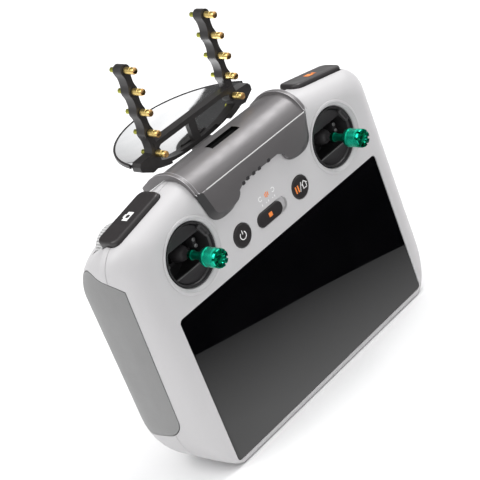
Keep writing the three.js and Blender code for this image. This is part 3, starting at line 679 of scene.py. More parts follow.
def front_shell():
    shell = join(shell_skin("front_shell_body"), both_sides(well_rim))
    front = block("front_part", (-0.2, -0.2, -0.2), (0.2, FACE_Y + SEAM_DEPTH - SEAM_GAP / 2, 0.3))
    carve(shell, [front], "INTERSECT")
    recess = rounded(19.5 * MM, 6.9 * MM, 3.4 * MM, SWITCH_X + 1.6 * MM, SWITCH_Z, 16)
    seat = rounded(134.3 * MM, 72 * MM, 2.1 * MM, 0, SCREEN_Z)
    depth = FACE_Y + 10 * MM
    in_front = FACE_Y - 5 * MM
    tools = both_sides(well_cut) + both_sides(pad_pocket)
    tools += [
        plate("glass_seat", seat, in_front, FACE_Y + 1.7 * MM),
        plate("panel_window", rounded(129 * MM, 67 * MM, 1 * MM, 0, SCREEN_Z), in_front, depth),
        plate("switch_recess", recess, in_front, FACE_Y + 1.3 * MM),
        block("switch_slot", at(-5.6, 0, 84.2), at(3.6, 10, 87.4)),
        plate("power_hole", circle(5.4 * MM, POWER_X, BUTTON_Z), in_front, depth),
        plate("home_hole", circle(5.4 * MM, HOME_X, BUTTON_Z), in_front, depth),
    ]
    return smooth(carve(shell, tools + shoulder_cuts()))


def back_slots():
    """The vents above and the speaker slots below, through the panel between the grips."""
    outlines = [rounded(2.4 * MM, 15 * MM, 1.15 * MM, (k - 3) * 5.4 * MM, 92 * MM) for k in range(7)]
    outlines += [rounded(12 * MM, 1.4 * MM, 0.65 * MM, 0, (22 + (k - 2) * 3) * MM) for k in range(5)]
    panel = FACE_Y + BACK_PANEL
    return [plate("slot", outline, panel - 6 * MM, panel + 2 * MM) for outline in outlines]


def rear_shell():
    shell = shell_skin("rear_shell_body")
    rear = block("rear_part", (-0.2, FACE_Y + SEAM_DEPTH + SEAM_GAP / 2, -0.2), (0.2, 0.2, 0.3))
    carve(shell, [rear], "INTERSECT")
    tools = both_sides(pad_pocket) + both_sides(dial_slot) + both_sides(rear_button_hole) + back_slots()
    tools += shoulder_cuts()
    tools.append(block("port_hole", at(-4.8, 15.1, -5), at(4.8, 18.9, 6)))
    profile = [(1.3 * MM, -16 * MM), (1.3 * MM, -2.1 * MM), (2.5 * MM, -2.1 * MM), (2.5 * MM, 0.05)]
    for x in (-SCREW_X, SCREW_X):
        for z in SCREW_LEVELS.values():
            tools.append(turned("screw_hole", profile, Vector((x, FACE_Y + BODY_DEPTH, z)), 32))
    return smooth(carve(shell, tools))


finish_piece(front_shell(), SHELL, "housing", ["front_shell"])
finish_piece(rear_shell(), SHELL, "housing", ["rear_shell"])


# ---------------------------------------------------------------- grip pads

def grip_pad():
    """The rubber skin set into the side, with a fine gap round its edge."""
    pad = pad_edge(0.3 * MM, 1)
    pad.name = "grip_pad_right_skin"
    carve(pad, [body_form("core", -1.5 * MM)])
    carve(pad, [body_form("limit")], "INTERSECT")
    return smooth(pad)


pad_right = grip_pad()
pad_left = mirrored(pad_right, "grip_pad_left_skin")
finish_piece(pad_right, PAD_RUBBER, "housing", ["grip_pad_right"])
finish_piece(pad_left, PAD_RUBBER, "housing", ["grip_pad_left"])


# ---------------------------------------------------------------- display

def display_glass():
    outline = rounded(134 * MM, 71.7 * MM, 2 * MM, 0, SCREEN_Z, 12)
    glass = plate("display_cover", outline, FACE_Y + GLASS_SINK, FACE_Y + GLASS_SINK + 1.2 * MM)
    return smooth(bevel(glass, 0.3 * MM, 3))


finish_piece(display_glass(), GLASS, "housing", ["display_glass"])


# ---------------------------------------------------------------- gimbals

def gimbal_housing():
    """The cup behind a well, with a stepped wall and a lug on each side."""
    outer, inner, floor = 13.4 * MM, 12.1 * MM, 18.4 * MM
    solid = [(0, 20 * MM), (outer, 20 * MM), (outer, 0.9 * MM), (0, 0.9 * MM)]
    cup = turned("gimbal_cup_right", solid, WELL_MIDDLE, 96)
    space = [(inner + 0.7 * MM, 0), (inner + 0.7 * MM, 2.2 * MM), (inner, 3 * MM), (inner, floor)]
    carve(cup, [turned("hollow", space, WELL_MIDDLE, 96)])
    join(cup, [
        block("lug", at(31, 15, 89.3), at(36, 20, 99.3)),
        block("lug", at(60, 15, 89.3), at(65, 20, 99.3)),
    ])
    return smooth(cup)


def gimbal_covers():
    """Two plates just inside the well, above and below the band where the stick rocks."""
    profile = [(12.05 * MM, COVER_DEPTH + 1 * MM), (12.05 * MM, COVER_DEPTH), (0, COVER_DEPTH)]
    covers = turned("gimbal_covers_right", profile, WELL_MIDDLE, 96)
    outline = rounded(30 * MM, 2 * COVER_EDGE, 0.6 * MM, WELL_X, WELL_Z)
    band = plate("band", outline, FACE_Y, FACE_Y + 20 * MM)
    return smooth(bevel(carve(covers, [band]), 0.2 * MM, 2))


# Picks the upward face of the lower cover's edge, which gets a painted highlight.
def on_lower_edge(x, depth, z, normal):
    return normal.z > 0.3 and abs(z - (WELL_Z - COVER_EDGE) / MM) < 0.5


def gimbal_bracket():
    """The bright spring arm seen at the rim of the well, beside the stick."""
    middle = Vector((WELL_X + 10.4 * MM, 0, WELL_Z + 5.2 * MM))
    arm = plate("gimbal_bracket_right", rounded(2.4 * MM, 7 * MM, 0.8 * MM, middle.x, middle.z),
                FACE_Y + 1.2 * MM, FACE_Y + 2.6 * MM)
    slit = rounded(1.2 * MM, 5 * MM, 0.5 * MM, middle.x, middle.z)
    carve(arm, [plate("slit", slit, FACE_Y, FACE_Y + 1.9 * MM)])
    turn = Matrix.Rotation(math.radians(-27), 4, "Y")
    arm.data.transform(Matrix.Translation(middle) @ turn @ Matrix.Translation(-middle))
    return smooth(bevel(arm, 0.15 * MM, 2))


def well_screws():
    """Small cross-head screws in the end blocks of the rocking frame."""
    screws = None
    face = PIVOT_DEPTH - 2.6 * MM
    for x, z in ((-8.5, -1.5), (-8.5, 1.5), (8.5, -1.5), (8.5, 1.5)):
        centre = Vector((WELL_X + x * MM, FACE_Y, WELL_Z + z * MM))
        head = turned("gimbal_screws_right", [
            (0.85 * MM, face + 0.3 * MM),
            (0.85 * MM, face - 0.35 * MM),
            (0.65 * MM, face - 0.5 * MM),
            (0, face - 0.5 * MM),
        ], centre, 24)
        carve(head, [block("cross", (centre.x - 0.6 * MM, FACE_Y + face - MM, centre.z - 0.12 * MM),
                           (centre.x + 0.6 * MM, FACE_Y + face - 0.2 * MM, centre.z + 0.12 * MM))])
        screws = join(screws, [head]) if screws else head
    return smooth(screws)


def gimbal_yoke():
    """The rocking frame: an end block and a post on each side, and a bar above and below the shaft."""
    arm_x, bar_z, half = 8.5, 4.6, 1.0
    x0, z0, pivot = WELL_X / MM, WELL_Z / MM, PIVOT_DEPTH / MM
    parts = []
    for side in (-1, 1):
        arm, bar_middle = x0 + side * arm_x, z0 + side * bar_z
        parts += [
            block("arm", at(arm - half, pivot - 2.6, z0 - 2.6), at(arm + half, pivot + 4.8, z0 + 2.6)),
            block("post", at(arm - half, pivot + 2.8, z0 - bar_z - half),
                  at(arm + half, pivot + 4.8, z0 + bar_z + half)),
            block("bar", at(x0 - 9, pivot + 2.8, bar_middle - half),
                  at(x0 + 9, pivot + 4.8, bar_middle + half)),
        ]
    yoke = parts.pop(0)
    yoke.name = "gimbal_rocker_right"
    join(yoke, parts)
    return smooth(bevel(yoke, 0.35 * MM, 2))


def stick_shaft():
    """The shaft that carries the stick, with a round ball where it rocks in the yoke."""
    pivot = PIVOT_DEPTH
    tail, tail_radius = 4.2 * MM, 2.6 * MM
    profile = [(0, pivot + tail), (tail_radius, pivot + tail)]
    for k in range(9):
        t = k / 8
        profile.append((tail_radius + 1.4 * MM * math.sin(t * math.pi / 2), pivot + tail * (1 - t)))
    profile += [
        (3.7 * MM, pivot - 2 * MM),
        (3.2 * MM, pivot - 4 * MM),
        (2.3 * MM, pivot - 5.2 * MM),
        (1.7 * MM, pivot - 6 * MM),
        (1.7 * MM, 1.8 * MM),
        (0, 1.8 * MM),
    ]
    return smooth(turned("stick_post_right", profile, WELL_MIDDLE, 48), 50)


def stick_cap():
    """The screw-on stick: a foot, a thin neck, a smooth head with a grip ring, and a notched crown."""
    reach, head, neck = 16.5, 4.1, 1.65
    top, start = -reach, -reach + 9.4
    profile = [
        (0, 1.6), (2, 1.6), (2.1, 1.5), (2.1, -0.2), (1.9, -0.4), (neck + 0.2, -0.9), (neck, -1.3),
        (neck, start + 0.5), (neck + 0.4, start + 0.05), (head - 0.9, start), (head - 0.25, start - 0.35),
        (head, start - 0.9), (head, start - 2.2), (head - 0.3, start - 2.4), (head - 0.3, start - 2.8),
        (head, start - 3), (head, top + 2.5), (head - 0.25, top + 2.3), (head - 0.25, top + 2),
        (head, top + 1.8), (head, top + 0.5), (head - 0.2, top + 0.1), (head - 0.5, top),
        (2.1, top), (1.9, top + 0.2), (1.5, top + 1.4), (0, top + 1.5),
    ]
    cap = turned("stick_head_right", in_mm(profile), WELL_MIDDLE, 64)
    notches = []
    for k in range(8):
        notch = block("notch", (1.75 * MM, FACE_Y + (top - 1) * MM, -0.5 * MM),
                      (5 * MM, FACE_Y + (top + 1.3) * MM, 0.5 * MM))
        notch.data.transform(Matrix.Rotation(2 * math.pi * (k + 0.5) / 8, 4, "Y"))
        notch.data.transform(Matrix.Translation((WELL_X, 0, WELL_Z)))
        notches.append(notch)
    carve(cap, notches)
    return smooth(cap, 30)


def add_pair(piece, left_name, material, body, node=None):
    """Finishes a right-hand piece and its left-hand copy, with the side added to the body and the node."""
    other = mirrored(piece, left_name)
    for copy, side in ((piece, "right"), (other, "left")):
        named = body if body == "housing" else f"{side}_{body}"
        stands_for = [f"{node}_{side}"] if node else []
        finish_piece(copy, material, named, stands_for)
    return piece, other


add_pair(gimbal_housing(), "gimbal_cup_left", GIMBAL_BLACK, "housing", "gimbal_housing")
# The lower cover's top edge gets a painted highlight.
for plates in add_pair(gimbal_covers(), "gimbal_covers_left", GIMBAL_COVER, "housing"):
    paint(plates, PAINTED_EDGE_HIGHLIGHT, on_lower_edge)
bracket = gimbal_bracket()
left_bracket = moved_copy(bracket, "gimbal_bracket_left", Matrix.Translation((-2 * WELL_X, 0, 0)))
finish_piece(bracket, BRACKET_GREY, "housing")
finish_piece(left_bracket, BRACKET_GREY, "housing")
add_pair(well_screws(), "gimbal_screws_left", STEEL, "yoke")
add_pair(gimbal_yoke(), "gimbal_rocker_left", GIMBAL_BLACK, "yoke", "gimbal_yoke")
add_pair(stick_shaft(), "stick_post_left", GIMBAL_BLACK, "stick", "stick_shaft")
# The neck and foot are painted darker green as shade.
for stick in add_pair(stick_cap(), "stick_head_left", STICK_GREEN, "stick", "stick_cap"):
    paint(stick, NECK_PAINTED_SHADE, lambda x, depth, z, normal: depth > -6.8)


# ---------------------------------------------------------------- buttons, switch and dials

def round_button(name, x):
    profile = [
        (0, 4.8), (6.1, 4.8), (6.1, 3.75), (5.1, 3.7), (5.1, 0.1), (5.02, -0.2), (4.85, -0.38),
        (4.6, -0.44), (3.2, -0.47), (1.6, -0.49), (0, -0.5),
    ]
    return smooth(turned(name, in_mm(profile), Vector((x, FACE_Y, BUTTON_Z)), 96), 28)


def mode_switch():
    """The sliding cap and the tongue below it."""
    outline = rounded(15.7 * MM, 6.3 * MM, 3.1 * MM, SWITCH_X, SWITCH_Z, 16)
    cap = plate("mode_slider", outline, FACE_Y - 0.5 * MM, FACE_Y + 1 * MM)
    bevel(cap, 0.3 * MM, 3)
    join(cap, [block("tongue", at(-5.2, 0.9, 84.5), at(0, 5, 87.1))])
    return smooth(cap)


def shoulder_button(name, side):
    """A long button with round corners, rolled edges and a slightly dished top."""
    width, length, radius = SHOULDER_BUTTON
    edge = ((0, -4), (0, 0.7), (-0.12, 1.2), (-0.4, 1.6), (-0.85, 1.82), (-1.3, 1.88), (-3, 1.72))
    rings = []
    for spare, height in edge:
        outline = rounded(width + 2 * spare * MM, length + 2 * spare * MM, radius + spare / 2 * MM)
        rings.append([on_shoulder(side, across, along, height * MM) for across, along in outline])
    return smooth(loft(name, rings), 28)


def rear_button(name, side):
    """A small rear button whose face is dished for the finger."""
    front = FACE_Y + BODY_DEPTH - 5.5 * MM
    rear = FACE_Y + BODY_DEPTH + 0.7 * MM
    edge = [(0, front), (0, rear - 0.35 * MM), (-0.3, rear)]
    edge += [(-1.2, rear - 0.1 * MM), (-2.1, rear - 0.35 * MM)]
    rings = []
    for spare, y in edge:
        size = ((9 + 2 * spare) * MM, (5.4 + 2 * spare) * MM, (2.3 + spare) * MM)
        outline = rounded(*size, side * REAR_BUTTON_X, REAR_BUTTON_Z)
        rings.append([Vector((x, y, z)) for x, z in outline])
    return smooth(loft(name, rings))


def dial_wheel():
    """A thin wheel with a fine straight knurl round its edge and a dished face."""
    front, rear, teeth = 24.6 * MM, 30.6 * MM, 48
    outside = [(-3, front + 0.4 * MM), (-2.2, front), (-0.6, front), (0, front + 0.6 * MM)]
    outside += [(0, rear - 0.6 * MM), (-0.6, rear), (-2.2, rear), (-3, rear - 0.4 * MM)]
    rings = []
    for reach, y in outside:
        ring = []
        for k in range(teeth * 4):
            groove = 0.75 * MM if k % 4 == 0 and reach > -0.6 else 0
            angle = 2 * math.pi * k / (teeth * 4)
            r = DIAL_RADIUS + reach * MM - groove
            ring.append(Vector((DIAL_X + r * math.cos(angle), FACE_Y + y, DIAL_Z + r * math.sin(angle))))
        rings.append(ring)
    return smooth(loft("dial_ridged_right", rings), 20)


BUTTONS = {
    "power_button": (round_button("power_cap", POWER_X), "power_button"),
    "home_button": (round_button("home_cap", HOME_X), "home_button"),
    "photo_button": (shoulder_button("photo_cap", -1), "photo_button"),
    "record_button": (shoulder_button("record_cap", 1), "record_button"),
    "rear_button_left": (rear_button("rear_cap_left", -1), "left_rear_button"),
    "rear_button_right": (rear_button("rear_cap_right", 1), "right_rear_button"),
    "mode_switch": (mode_switch(), "mode_switch"),
}
for node, (piece, body) in BUTTONS.items():
    finish_piece(piece, BUTTON_DARK, body, [node])
add_pair(dial_wheel(), "dial_ridged_left", DIAL_PLASTIC, "dial", "dial")


# ---------------------------------------------------------------- printed marks

def bar(x0, z0, x1, z1, width):
    """The outline of a straight stroke between two points, in millimetres."""
    start, end = Vector((x0, z0)), Vector((x1, z1))
    across = (end - start).normalized().orthogonal() * width / 2
    return [tuple(p * MM) for p in (start + across, start - across, end - across, end + across)]


def arc(radius, width, start, end, x=0.0, z=0.0, steps=24):
    """The outline of a stroke along part of a circle, in millimetres and degrees."""
    angles = [math.radians(start + (end - start) * k / steps) for k in range(steps + 1)]
    outer, inner = radius + width / 2, radius - width / 2
    outline = [(x + outer * math.cos(a), z + outer * math.sin(a)) for a in angles]
    outline += [(x + inner * math.cos(a), z + inner * math.sin(a)) for a in reversed(angles)]
    return in_mm(outline)


def printed(name, outlines, material, body, front, thickness=0.06):
    """Thin marks on a face towards the holder. The front is a depth in millimetres."""
    y0 = FACE_Y + front * MM
    marks = [plate(name, outline, y0, y0 + thickness * MM) for outline in outlines]
    first = marks.pop(0)
    for mark in marks:
        merge(first, mark)
    return finish_piece(first, material, body)


def merge(piece, other):
    """Adds another mesh to a piece without joining their surfaces."""
    work = bmesh.new()
    work.from_mesh(piece.data)
    work.from_mesh(other.data)
    work.to_mesh(piece.data)
    work.free()
    bpy.data.objects.remove(other)


def shoulder_marks(name, outlines, side, material, body):
    """Thin marks on a shoulder button. Outlines are (across, along) in metres from the button's middle."""
    piece = None
    for outline in outlines:
        low = [on_shoulder(side, across, along, 1.70 * MM) for across, along in outline]
        high = [on_shoulder(side, across, along, 1.79 * MM) for across, along in outline]
        mark = loft(name, [low, high])
        if piece:
            merge(piece, mark)
        else:
            piece = mark
    return finish_piece(piece, material, body)


def power_mark():
    x, z = POWER_X / MM, BUTTON_Z / MM
    outlines = [arc(1.75, 0.42, 128, 412, x, z), bar(x, z + 0.5, x, z + 2.35, 0.42)]
    return printed("power_mark", outlines, WHITE_INK, "power_button", -0.53)


def home_marks():
    x, z = HOME_X / MM, BUTTON_Z / MM
    pause = [bar(x - 3.2, z - 1.6, x - 3.2, z + 1.6, 0.75), bar(x - 1.7, z - 1.6, x - 1.7, z + 1.6, 0.75)]
    printed("pause_mark", pause, ORANGE_INK, "home_button", -0.53)
    house = [
        bar(x - 0.9, z - 1.9, x + 0.7, z + 2.1, 0.34),
        bar(x + 1.3, z - 1.6, x + 1.3, z + 0.5, 0.42),
        bar(x + 3.5, z - 1.6, x + 3.5, z + 0.5, 0.42),
        bar(x + 1.1, z - 1.5, x + 3.7, z - 1.5, 0.42),
        bar(x + 0.7, z + 0.2, x + 2.5, z + 1.9, 0.42),
        bar(x + 2.3, z + 1.9, x + 4.1, z + 0.2, 0.42),
    ]
    return printed("house_mark", house, WHITE_INK, "home_button", -0.53)


def mode_marks():
    x, z = SWITCH_X / MM, SWITCH_Z / MM
    square = in_mm([(x - 1.1, z - 1), (x + 1.1, z - 1), (x + 1.1, z + 1), (x - 1.1, z + 1)])
    printed("mode_mark", [square], ORANGE_INK, "mode_switch", -0.545)
    centre, side = -0.6, 4.1
    printed("mode_dots", [
        bar(centre - 0.9, 93.4, centre - 0.9, 95.2, 0.5),
        bar(centre, 93, centre, 95.6, 0.5),
        bar(centre + 0.9, 93.4, centre + 0.9, 95.2, 0.5),
    ], ORANGE_INK, "housing", -0.04)
    ticks = [bar(centre + k * side, 90.8, centre + k * side, 91.8, 0.42) for k in (-1, 0, 1)]
    ticks += [bar(centre + k * side - 1.4, 90.9, centre + k * side - 1.4, 91.4, 0.36) for k in (0, 1)]
    ticks.append(arc(0.95, 0.42, 40, 320, centre - side, 94.3))
    ticks.append(arc(0.95, 0.42, -140, 140, centre + side, 94.3))
    return printed("mode_ticks", ticks, WHITE_INK, "housing", -0.04)


def camera_glyph():
    """A plain camera: a body with a viewfinder bump, in two halves round an open lens."""
    lens = [(-1.05 * math.sin(math.pi * k / 12), -1.05 * math.cos(math.pi * k / 12)) for k in range(13)]
    half = [(-2.6, -1.7), (0, -1.7)] + lens + [(0, 2.3), (-0.8, 2.3), (-1.3, 1.5), (-2.6, 1.5)]
    other_half = [(-x, z) for x, z in reversed(half)]
    return [in_mm(half), in_mm(other_half)]


def film_glyph():
    """A plain film camera: a body with a wedge beside it."""
    body = [(-2.6, -1.6), (1, -1.6), (1, 1.6), (-2.6, 1.6)]
    wedge = [(1.4, -0.5), (3, -1.5), (3, 1.5), (1.4, 0.5)]
    return [in_mm(body), in_mm(wedge)]


power_mark()
home_marks()
mode_marks()
shoulder_marks("photo_mark", camera_glyph(), -1, WHITE_INK, "photo_button")
shoulder_marks("record_mark", film_glyph(), 1, ORANGE_INK, "record_button")


# ---------------------------------------------------------------- clip-on saddle

def saddle_edge(chamfer):
    """The saddle's edge from the front, drawn in by a chamfer round the outer sides of its two lobes."""
    low, half, recess = 99, SADDLE_HALF, 107.2
    edge = [Vector((11, recess)), Vector((15, recess - 2))]
    edge += curve(edge[-1], (15.5, low), (25, low), 12)
    bottom = len(edge)
    edge += curve(edge[-1], (half - 3.4, low), (half - 2.4, low + 7), 14)
    edge += [Vector((half, 115)), Vector((half, 160))]
    drawn_in = []
    for k, point in enumerate(edge):
        along = edge[min(k + 1, len(edge) - 1)] - edge[max(k - 1, 0)]
        inward = Vector((-along.y, along.x)).normalized()
        share = min(1, max(0, (k - 2) / (bottom - 2)))
        drawn_in.append(point + inward * chamfer * share)
    left = [Vector((-p.x, p.y)) for p in reversed(drawn_in)]
    return [(p.x * MM, p.y * MM) for p in drawn_in + left]


def saddle_profile(rise):
    """The saddle from the side: a flat front, a raised crease with a valley behind it, a round roof."""
    front, crease = -2.4, 115
    profile = [
        Vector((front, 90)),
        Vector((front, crease)),
        Vector((front + 0.45, crease + 0.1)),
        Vector((front + 1.3, crease - 0.9 + rise)),
    ]
    profile += curve(profile[-1], (2.5 - rise / 2, 121.8 + rise), (11, 122.9 + rise), 16)
    profile += curve(profile[-1], (19, 122.9 + rise), (24, 119.9 + rise), 12)
    profile += [Vector((30.6, 115.6 + rise)), Vector((30.6, 90))]
    return [at(0, depth, z) for depth, z in profile]


def saddle_body(name, x0, x1, rise):
    return prism(name, saddle_profile(rise), Vector((x0 * MM, 0, 0)), Vector(((x1 - x0) * MM, 0, 0)))


def clip_saddle():
    """A sheet bent over the top edge, with two lobes down the face and a rib along each end."""
    half, rib = SADDLE_HALF, SADDLE_HALF - RIB_WIDTH
    saddle = saddle_body("clip_body", -half, half, 0)
    join(saddle, [saddle_body("rib", rib, half, RIB_RISE), saddle_body("rib", -half, -rib, RIB_RISE)])
    bevel(saddle, 0.3 * MM, 3, 40)
    flat, chamfer_depth = -3.2, -0.4
    front = [Vector((x, FACE_Y + flat * MM, z)) for x, z in saddle_edge(4.4)]
    full = [Vector((x, FACE_Y + chamfer_depth * MM, z)) for x, z in saddle_edge(0)]
    rear = [Vector((x, FACE_Y + 31 * MM, z)) for x, z in saddle_edge(0)]
    carve(saddle, [loft("edge", [front, full, rear])], "INTERSECT")
    tools = [body_form("core", 0.4 * MM), block("slot", at(-11.5, 8.6, 100), at(6.3, 13.4, 130))]
    carve(saddle, tools)
    rest = block("stem_rest", at(-6, 25.4, 112), at(6, 28.8, 118.4))
    join(saddle, [carve(rest, [body_form("core", 0.4 * MM)])])
    return smooth(saddle, 25)


# Picks the chamfer bands on the lobes, which are painted darker as shade.
def in_lobe_chamfer(x, depth, z, normal):
    return z < 114 and depth < 0 and -0.97 < normal.y < -0.3


# Picks the slot's inner walls, which are painted near black as shade.
def in_slot(x, depth, z, normal):
    return -11.7 < x < 6.5 and 8.4 < depth < 13.6 and abs(normal.z) < 0.5


def saddle_teeth():
    """Small dark teeth along the top of the recess between the two lobes."""
    teeth = None
    for x, z in ((5.3, 107.6), (-0.9, 107.4), (-4.7, 107.3), (-8.6, 107.2), (-11.6, 106.6)):
        tooth = plate("saddle_teeth", rounded(1.9 * MM, 1.7 * MM, 0.5 * MM, x * MM, z * MM),
                      FACE_Y - 2.5 * MM, FACE_Y - 0.5 * MM)
        teeth = join(teeth, [tooth]) if teeth else tooth
    return smooth(bevel(teeth, 0.2 * MM, 2))


def rib_line(name, x):
    """A thin strip along the top of a rib, in a lighter grey as a painted highlight."""
    line = saddle_body(name, x - 0.14, x + 0.14, 1.44)
    return smooth(carve(line, [saddle_body("inside", x - 0.4, x + 0.4, 1.2)]), 40)


def crease_edge():
    """The thin edge where the saddle's flat front meets its roof, in light grey as a painted highlight."""
    edge = block("crease_edge", at(-31, -2.46, 114.75), at(33.6, -2.05, 115.16))
    return smooth(bevel(edge, 0.08 * MM, 2))


def clip_lining():
    """The pad between the saddle and the body, seen through the slot, painted near black as shade in the
    slot.
    """
    lining = body_form("clip_lining", 0.34 * MM)
    carve(lining, [block("part", at(-14, 6, 100), at(9, 16, 130))], "INTERSECT")
    carve(lining, [body_form("core", 0.06 * MM)])
    return smooth(lining)


saddle = finish_piece(clip_saddle(), CLIP_PLASTIC, "booster", ["clip_saddle"])
# The lobes' chamfer bands get painted shade.
paint(saddle, CLIP_DARK_AND_PAINTED_SHADE, in_lobe_chamfer)
# The slot's inner walls get painted shade.
paint(saddle, SLOT_PAINTED_SHADE, in_slot)
finish_piece(crease_edge(), CREASE_PAINTED_HIGHLIGHT, "booster")
finish_piece(saddle_teeth(), CLIP_DARK_AND_PAINTED_SHADE, "booster")
for number, line_x in enumerate((-36.3, -34.6, 34.6, 36.3), 1):
    finish_piece(rib_line(f"rib_line_{number}", line_x), RIB_PAINTED_HIGHLIGHT, "booster")
finish_piece(clip_lining(), SLOT_PAINTED_SHADE, "booster")


# ---------------------------------------------------------------- booster frame, rods and reflector

def boom():
    """A mast with a boss round each rod that flows into narrower waists between them."""
    y0, y1 = FACE_Y + 27.1 * MM, FACE_Y + 32.1 * MM
    steps = 12
    right, left = [], []
    for k in range(4 * steps + 1):
        height = k * ROD_PITCH / steps
        from_rod = height - round(height / ROD_PITCH) * ROD_PITCH
        swell = math.exp(-(from_rod / (2.1 * MM)) ** 2)
        half = WAIST_HALF + (BOSS_RADIUS - WAIST_HALF) * swell
        right.append((ROD_X + half, ROD_LOW + height))
        left.append((ROD_X - half, ROD_LOW + height))
    mast = plate("boom", right + left[::-1], y0, y1)
    ends = (ROD_HEIGHTS[0], ROD_HEIGHTS[-1])
    join(mast, [plate("cap", circle(BOSS_RADIUS, ROD_X, z, 48), y0, y1) for z in ends])
    return mast


def frame_plate(name, outline):
    """A solid from an outline in millimetres, as deep as the frame's bars."""
    front, rear = FACE_Y + FRAME_FRONT * MM, FACE_Y + FRAME_REAR * MM
    return plate(name, [tuple(p * MM) for p in outline], front, rear)


def foot():
    """The lowest block of a boom, with its outer end cut slanting."""
    corners = [(24, 122), (27, 121.4), (30.2, 121), (36, 124.3), (36, 126.6), (34.8, 128.1), (24, 128.6)]
    outline = round_corners([(Vector(c) * MM, 0.6 * MM, 4) for c in corners])
    return plate("foot", [tuple(p) for p in outline], FACE_Y + 26.9 * MM, FACE_Y + 32.1 * MM)


def bowed_arm():
    """The curved bar from a foot down to the stem in the middle."""
    outline = [Vector((28, 121.6)), Vector((27, 125))]
    outline += curve(outline[-1], (19, 120), (0, 119.6), 14)
    outline += [Vector((0, 117.7))]
    outline += curve(outline[-1], (18, 117.5), (28, 121.6), 14)[:-1]
    return frame_plate("arm", outline)


def fillet():
    """The rounded corner where a boom meets the underside of the crossbar."""
    corner, radius, overlap = Vector((25 - 1.75, 129.7)), 2.2, 0.3
    outline = [corner + Vector((overlap, overlap)), corner + Vector((-radius, overlap))]
    for k in range(9):
        angle = math.pi / 2 * k / 8
        outline.append(corner + radius * Vector((math.sin(angle) - 1, math.cos(angle) - 1)))
    outline.append(corner + Vector((overlap, -radius)))
    return frame_plate("fillet", outline)


def booster_frame():
    wing = boom()
    join(wing, [foot(), bowed_arm(), fillet()])
    stem_front = 29.4
    skeleton = join(wing, [
        mirrored(wing, "wing"),
        block("crossbar", at(-25, FRAME_FRONT, 129.7), at(25, FRAME_REAR, 131.9)),
        block("stem", at(-2.1, stem_front, 117.6), at(2.1, FRAME_REAR, 131)),
        block("stem_root", at(-4.2, stem_front, 129.2), at(4.2, FRAME_REAR, 130.4)),
    ])
    skeleton.name = "booster_skeleton"
    tools = [block("relief", at(-19, 20, 110), at(19, 29.3, 120.4))]
    for side in (1, -1):
        for z in ROD_HEIGHTS:
            outline = circle(1.2 * MM, side * ROD_X, z, 32)
            tools.append(plate("rod_hole", outline, FACE_Y, FACE_Y + 60 * MM))
    carve(skeleton, tools)
    return smooth(lean(bevel(skeleton, 0.45 * MM, 2, 30)))


def rod(name, side, z):
    """A turned antenna rod: a thin tail through the boom and a head with two rings."""
    profile = [
        (0, 36), (0.9, 36), (1.1, 35.8), (1.1, 26.75), (1.5, 26.75), (1.5, 23.9), (1.36, 23.75),
        (1.36, 23.35), (1.5, 23.2), (1.5, 21.6), (1.35, 21.25), (1, 21.1), (0, 21.1),
    ]
    return smooth(lean(turned(name, in_mm(profile), Vector((side * ROD_X, FACE_Y, z)), 32)))


def round_dish(name, profile):
    return turned(name, in_mm(profile), Vector((0, FACE_Y + DISH_DEPTH, 0)), 128, "Z")


def behind_frame(name, profile):
    """A piece of revolution about a line up through the dish's middle, kept only behind the frame."""
    piece = round_dish(name, profile)
    keep = block("keep", (-0.1, FACE_Y + 32.2 * MM, 0), (0.1, FACE_Y + 0.1, 0.3))
    return lean(carve(piece, [keep], "INTERSECT"))


def dish_height(radius):
    along = max(0, (radius - DISH_INNER) / DISH_SPAN)
    return DISH_EDGE - DISH_FALL * (1 - along ** 1.5)


def reflector_dish():
    radii = [0, 5] + [DISH_INNER + DISH_SPAN * k / 24 for k in range(25)]
    upper = [(r, dish_height(r)) for r in radii]
    lower = [(r, z - 1.4) for r, z in reversed(upper)]
    return smooth(behind_frame("mirror_bowl", upper + lower), 30)


def reflector_rim():
    """A thin dark band round the bowl's edge."""
    profile = [(0, 126), (37.1, 126), (37.4, 126.3), (37.4, 127.7), (37.2, 127.95), (0, 127.95)]
    bore = lean(round_dish("bore", [(36.5, 120), (36.5, 140)]))
    return smooth(carve(behind_frame("rim_band", profile), [bore]))


def dish_hub():
    """The dark boss in the middle of the mirror."""
    profile = [(0, 118.6), (9.6, 118.6), (9.9, 118.9), (9.9, 120.4)]
    profile += [(9.6, 120.7), (8.6, 120.7), (8.4, 120.4), (0, 120.4)]
    return smooth(behind_frame("dish_hub", profile))


finish_piece(dish_hub(), FRAME_BLACK, "booster")
finish_piece(booster_frame(), FRAME_BLACK, "booster", ["booster_frame"])
finish_piece(reflector_dish(), MIRROR, "booster", ["reflector_dish"])
finish_piece(reflector_rim(), FRAME_BLACK, "booster", ["reflector_rim"])
for side_name, side in (("left", -1), ("right", 1)):
    for number, height in enumerate(ROD_HEIGHTS, 1):
        piece = rod(f"turned_rod_{side_name}_{number}", side, height)
        finish_piece(piece, BRASS, "booster", [f"rod_{side_name}_{number}"])
        depths = [(vertex.co.y - FACE_Y) / MM for vertex in piece.data.vertices]
        tail, tip = max(depths) - 5.5, min(depths) + 0.7
        paint(piece, TAIL_BRASS, lambda x, depth, z, normal: depth > tail)
        paint(piece, TIP_COPPER, lambda x, depth, z, normal: depth < tip)


# ---------------------------------------------------------------- screws and the pieces inside

